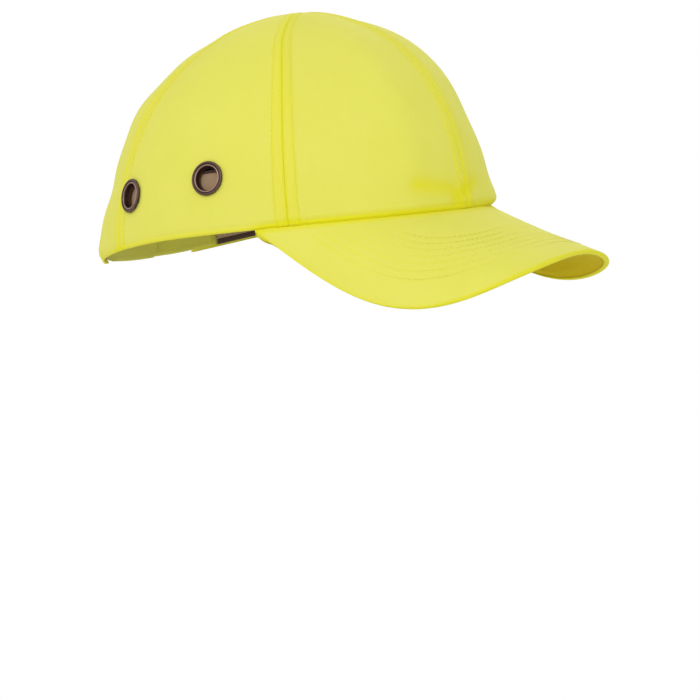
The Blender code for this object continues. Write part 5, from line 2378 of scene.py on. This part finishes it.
    def pad(self, name: str, node: str, ends: tuple[float, float], low: float, high: float,
            channels: int) -> None:
        """A rounded foam pad with pressed channels.

        Args:
            name: Its name.
            node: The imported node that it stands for.
            ends: The azimuths of its ends, in degrees.
            low: Its lower edge's height.
            high: Its upper edge's height.
            channels: How many cells its channels part it in.
        """
        along = np.sin(np.linspace(-1.0, 1.0, 25 * channels + 15) * math.pi / 2.0 * 0.9)
        along = along / along[-1]
        across = crowded(34)[:, None]
        half, tall = math.radians(ends[1] - ends[0]) / 2.0, (high - low) / 2.0
        middle = math.radians(ends[0] + ends[1]) / 2.0
        level = (low + high) / 2.0 + tall * across
        radius = 5.0 * MM
        near = np.clip(radius - (tall - np.abs(tall * across)), 0.0, radius)
        reach = half * self.pad_radius
        shrink = 1.0 - (radius - np.sqrt(radius**2 - near**2 * 0.99)) / reach
        azimuths = middle + half * along * shrink
        heights = np.broadcast_to(level, azimuths.shape)
        edge = np.minimum(reach * (1.0 - np.abs(along)) * np.ones_like(across),
                          tall * (1.0 - np.abs(across)) * np.ones_like(along))
        cell = (along * 0.5 + 0.5) * channels
        groove = hump((cell - np.round(cell)) * 2.0 * reach / channels, self.pad_channel)
        groove = groove * (np.round(cell) % channels > 0) * np.ones_like(across)
        thick = self.puffed(edge, groove)
        outer = self.at(azimuths, heights, self.pad_depth)
        inner = self.at(azimuths, heights, self.pad_depth + thick)
        flat = np.stack([azimuths * self.pad_radius, heights], axis=-1)
        made = make_sheet(name, outer, inner, self.wardrobe.foam, flat, edge_angle=60.0)
        seat(made, Body.INSERT, Slot.FOAM, node)

    def crown_cushion(self) -> None:
        """The round pad under the crown, with pressed rays and a ring."""
        azimuths = circle(144)
        share = np.concatenate([1.0 - np.linspace(0.0, 1.0, 16)[:-1] ** 1.5 * 0.2,
                                np.linspace(0.8, 0.03, 30)])[:, None]
        radius = share * self.crown_pad * np.ones_like(azimuths)
        heights = self.shape.height_at_radius(azimuths * np.ones_like(share), radius)
        edge = self.crown_pad - radius
        ray = np.abs((azimuths * 3.0 / math.pi + 0.5) % 1.0 - 0.5) * math.pi / 3.0 * radius
        groove = hump(ray, 1.1 * MM) * smooth(radius, 9.0 * MM, 13.0 * MM)
        groove = np.maximum(groove, hump(radius - 10.0 * MM, self.pad_channel))
        thick = self.puffed(edge, groove)
        made = self.dome("crown_cushion", azimuths, heights,
                         np.full_like(thick, self.pad_depth), self.pad_depth + thick,
                         self.wardrobe.foam)
        seat(made, Body.INSERT, Slot.FOAM, "pad_crown")

    def grips(self) -> None:
        """Loop tape inside the crown and hook tape on the shell, in four places."""
        width, height, thick = self.grip
        seed = 20
        for side in Side:
            for word, degrees in (("front", 30.0), ("rear", 149.0)):
                level = self.grip_height + np.linspace(-0.5, 0.5, 12)[:, None] * height
                turn = side.value * math.radians(degrees)
                places = self.shape.beside(turn, level, np.linspace(-0.5, 0.5, 14) * width)
                level = np.broadcast_to(level, places.shape)
                hook_depth = self.depth - self.gap - thick
                for kind, depth, facing, body in (
                        ("loop", self.shape.lining, -1.0, Body.CAP),
                        ("hook", hook_depth, 1.0, Body.INSERT)):
                    ease = np.zeros(places.shape)
                    ease[[0, -1]] = ease[:, [0, -1]] = 0.35 * MM
                    lie = self.relief.inside if kind == "loop" else self.at
                    outer = lie(places, level, depth + ease * (facing > 0.0))
                    inner = lie(places, level, depth + thick - ease * (facing < 0.0))
                    name = f"{kind}_patch_{word}_{side.word}"
                    seat(make_sheet(name, outer, inner, self.wardrobe.grip,
                                    np.stack([places * 0.09, level], axis=-1)),
                         body, Slot.GRIP, f"insert_{kind}_{word}_{side.word}")
                    face = outer if facing > 0 else inner[:, ::-1]
                    seed += 1
                    pile = self.sewing.scatter(f"{kind}_pile_{word}_{side.word}",
                                               face[1:-1, 1:-1], seed, self.wardrobe.bristle)
                    seat(pile, body, Slot.GRIP)

    def build(self) -> None:
        """Make every piece of the insert."""
        self.shell()
        for pad in self.pads:
            self.pad(*pad)
        self.crown_cushion()
        self.grips()


# ---- Studio ----
@dataclass
class Studio:
    """The camera, the soft lights and the pale floor."""

    azimuth: float = math.radians(-55.141)
    elevation: float = math.radians(-2.159)
    roll: float = math.radians(-6.95)
    target: tuple[float, float, float] = (0.0, 0.0, 60.0 * MM)
    target_pixel: tuple[float, float] = (284.245, 115.268)
    scale: float = 1894.0
    distance: float = 1.4
    picture: float = 700.0
    sensor: float = 36.0
    floor_height: float = -0.32
    floor_size: float = 6.0
    shadow_reach: tuple[float, float] = (0.335, 0.42)
    lamp_target: tuple[float, float, float] = (0.0, 0.0, 30.0 * MM)
    glow: tuple[float, float, float, float] = (0.97, 1.0, 0.88, 1.0)
    glow_strength: float = 0.58
    lamps: tuple[tuple[str, tuple[float, float, float], float, float, Colour], ...] = (
        # name, place, size, power, colour
        ("key", (-1.6, -0.6, 1.0), 1.4, 11.8, (1.0, 0.95, 0.97)),
        ("fill", (-0.2, -1.8, 0.7), 1.2, 4.0, (1.0, 1.0, 0.96)),
        ("rear", (-0.8, 1.6, 1.0), 1.4, 5.0, (1.0, 1.0, 0.92)),
        ("left", (1.5, 0.4, 0.8), 1.4, 6.0, (1.0, 1.0, 0.96)))

    def camera(self) -> None:
        """The camera, from where the target stands in the picture."""
        cos_up, sin_up = math.cos(self.elevation), math.sin(self.elevation)
        back = Vector((math.sin(self.azimuth) * cos_up, -math.cos(self.azimuth) * cos_up, sin_up))
        side = Vector((0.0, 0.0, 1.0)).cross(back).normalized()
        up = back.cross(side)
        turned = math.cos(self.roll) * side + math.sin(self.roll) * up
        raised = -math.sin(self.roll) * side + math.cos(self.roll) * up
        focal = self.scale * self.distance
        right = (self.target_pixel[0] - self.picture / 2.0) / focal
        above = -(self.target_pixel[1] - self.picture / 2.0) / focal
        forward = (-back - right * turned - above * raised).normalized()
        across = forward.cross(raised).normalized()
        upright = across.cross(forward)
        turn = Matrix((across, upright, -forward)).transposed()
        lens = bpy.data.cameras.new("camera")
        lens.sensor_width = self.sensor
        lens.lens = self.sensor * focal / self.picture
        lens.clip_start, lens.clip_end = 0.05, 50.0
        eye = put_in_scene("camera", lens)
        eye.matrix_world = Matrix.Translation(
            Vector(self.target) + back * self.distance) @ turn.to_4x4()
        bpy.context.scene.camera = eye

    def lamp(self, name: str, place: tuple[float, float, float], size: float,
             power: float, colour: Colour) -> None:
        """A soft square lamp that faces the cap.

        Args:
            name: Its name.
            place: Where it stands.
            size: The length of its side.
            power: Its power, in watts.
            colour: The colour of its light.
        """
        light = bpy.data.lights.new(name, "AREA")
        light.color = colour
        light.size = size
        light.energy = power
        made = put_in_scene(name, light)
        made.location = place
        aim = Vector(self.lamp_target) - Vector(place)
        made.rotation_mode = "QUATERNION"
        made.rotation_quaternion = aim.to_track_quat("-Z", "Y")

    @staticmethod
    def seen(made: NodeMaker, *kinds: str) -> Value:
        """1 for light paths of any of these kinds, else 0.

        Args:
            made: The tree's node maker.
            *kinds: The outputs of the Light Path node.

        Returns:
            The value.
        """
        path = made.node("ShaderNodeLightPath").outputs
        share = Value(made, path[kinds[0]])
        for kind in kinds[1:]:
            share = share.highest(Value(made, path[kind]))
        return share

    def surroundings(self) -> None:
        """An even white world, seen as plain white."""
        world = bpy.data.worlds.new("studio")
        bpy.context.scene.world = world
        world.use_nodes = True
        made = NodeMaker(world.node_tree)
        seen = self.seen(made, "Is Camera Ray", "Is Glossy Ray", "Is Transmission Ray")
        glow = made.node("ShaderNodeBackground", inputs={
            "Color": self.glow, "Strength": self.glow_strength})
        white = made.node("ShaderNodeBackground", inputs={
            "Color": (1.0, 1.0, 1.0, 1.0), "Strength": 1.0})
        mixed = made.node("ShaderNodeMixShader", inputs={
            0: seen, 1: glow.outputs[0], 2: white.outputs[0]})
        made.node("ShaderNodeOutputWorld", inputs={"Surface": mixed.outputs[0]})

    def floor(self) -> None:
        """A pale floor that keeps the cap's shadow under it and is plain white beyond."""
        half = self.floor_size / 2.0
        mesh = bpy.data.meshes.new("floor")
        mesh.from_pydata([(x, y, self.floor_height) for x, y in (
            (-half, -half), (half, -half), (half, half), (-half, half))], [], [(0, 1, 2, 3)])
        made = SurfaceMaker("pale_floor")
        place = made.node("ShaderNodeTexCoord").outputs["Object"]
        far = made.node("ShaderNodeVectorMath", {"operation": "LENGTH"}, {0: place})
        beyond = Value(made, made.node("ShaderNodeMapRange", {
            "interpolation_type": "SMOOTHSTEP"}, {
            "Value": far.outputs["Value"],
            "From Min": self.shadow_reach[0], "From Max": self.shadow_reach[1],
            "To Min": 0.0, "To Max": 1.0}).outputs[0])
        seen = self.seen(made, "Is Camera Ray", "Is Glossy Ray")
        pale = made.node("ShaderNodeBsdfDiffuse", inputs={"Color": (0.90, 0.90, 0.90, 1.0)})
        white = made.node("ShaderNodeEmission", inputs={"Strength": 1.0})
        mixed = made.node("ShaderNodeMixShader", inputs={
            0: beyond * seen, 1: pale.outputs[0], 2: white.outputs[0]})
        below = Value(made, made.node("ShaderNodeNewGeometry").outputs["Backfacing"])
        clear = made.node("ShaderNodeBsdfTransparent")
        shown = made.node("ShaderNodeMixShader", inputs={
            0: below * seen, 1: mixed.outputs[0], 2: clear.outputs[0]})
        made.node("ShaderNodeOutputMaterial", inputs={"Surface": shown.outputs[0]})
        mesh.materials.append(made.material)
        put_in_scene("floor", mesh)

    def build(self) -> None:
        """Set the studio up."""
        bpy.context.scene.view_settings.view_transform = "Standard"
        self.camera()
        self.surroundings()
        self.floor()
        for lamp in self.lamps:
            self.lamp(*lamp)


def main() -> None:
    """Build the cap in order."""
    logging.basicConfig(level=logging.INFO, format="%(message)s")
    shape = CapShape()
    relief = Relief(shape)
    wardrobe = Wardrobe()
    sewing = Sewing()
    Studio().build()
    eyelets = Eyelets(relief, wardrobe)
    Crown(relief, wardrobe, sewing).build(eyelets)
    eyelets.build()
    Peak(shape, wardrobe, sewing).build()
    Sweatband(relief, wardrobe, sewing).build()
    RearClosure(relief, wardrobe, sewing).build()
    ProtectiveInsert(relief, wardrobe, sewing).build()


if __name__ == "__main__":
    main()
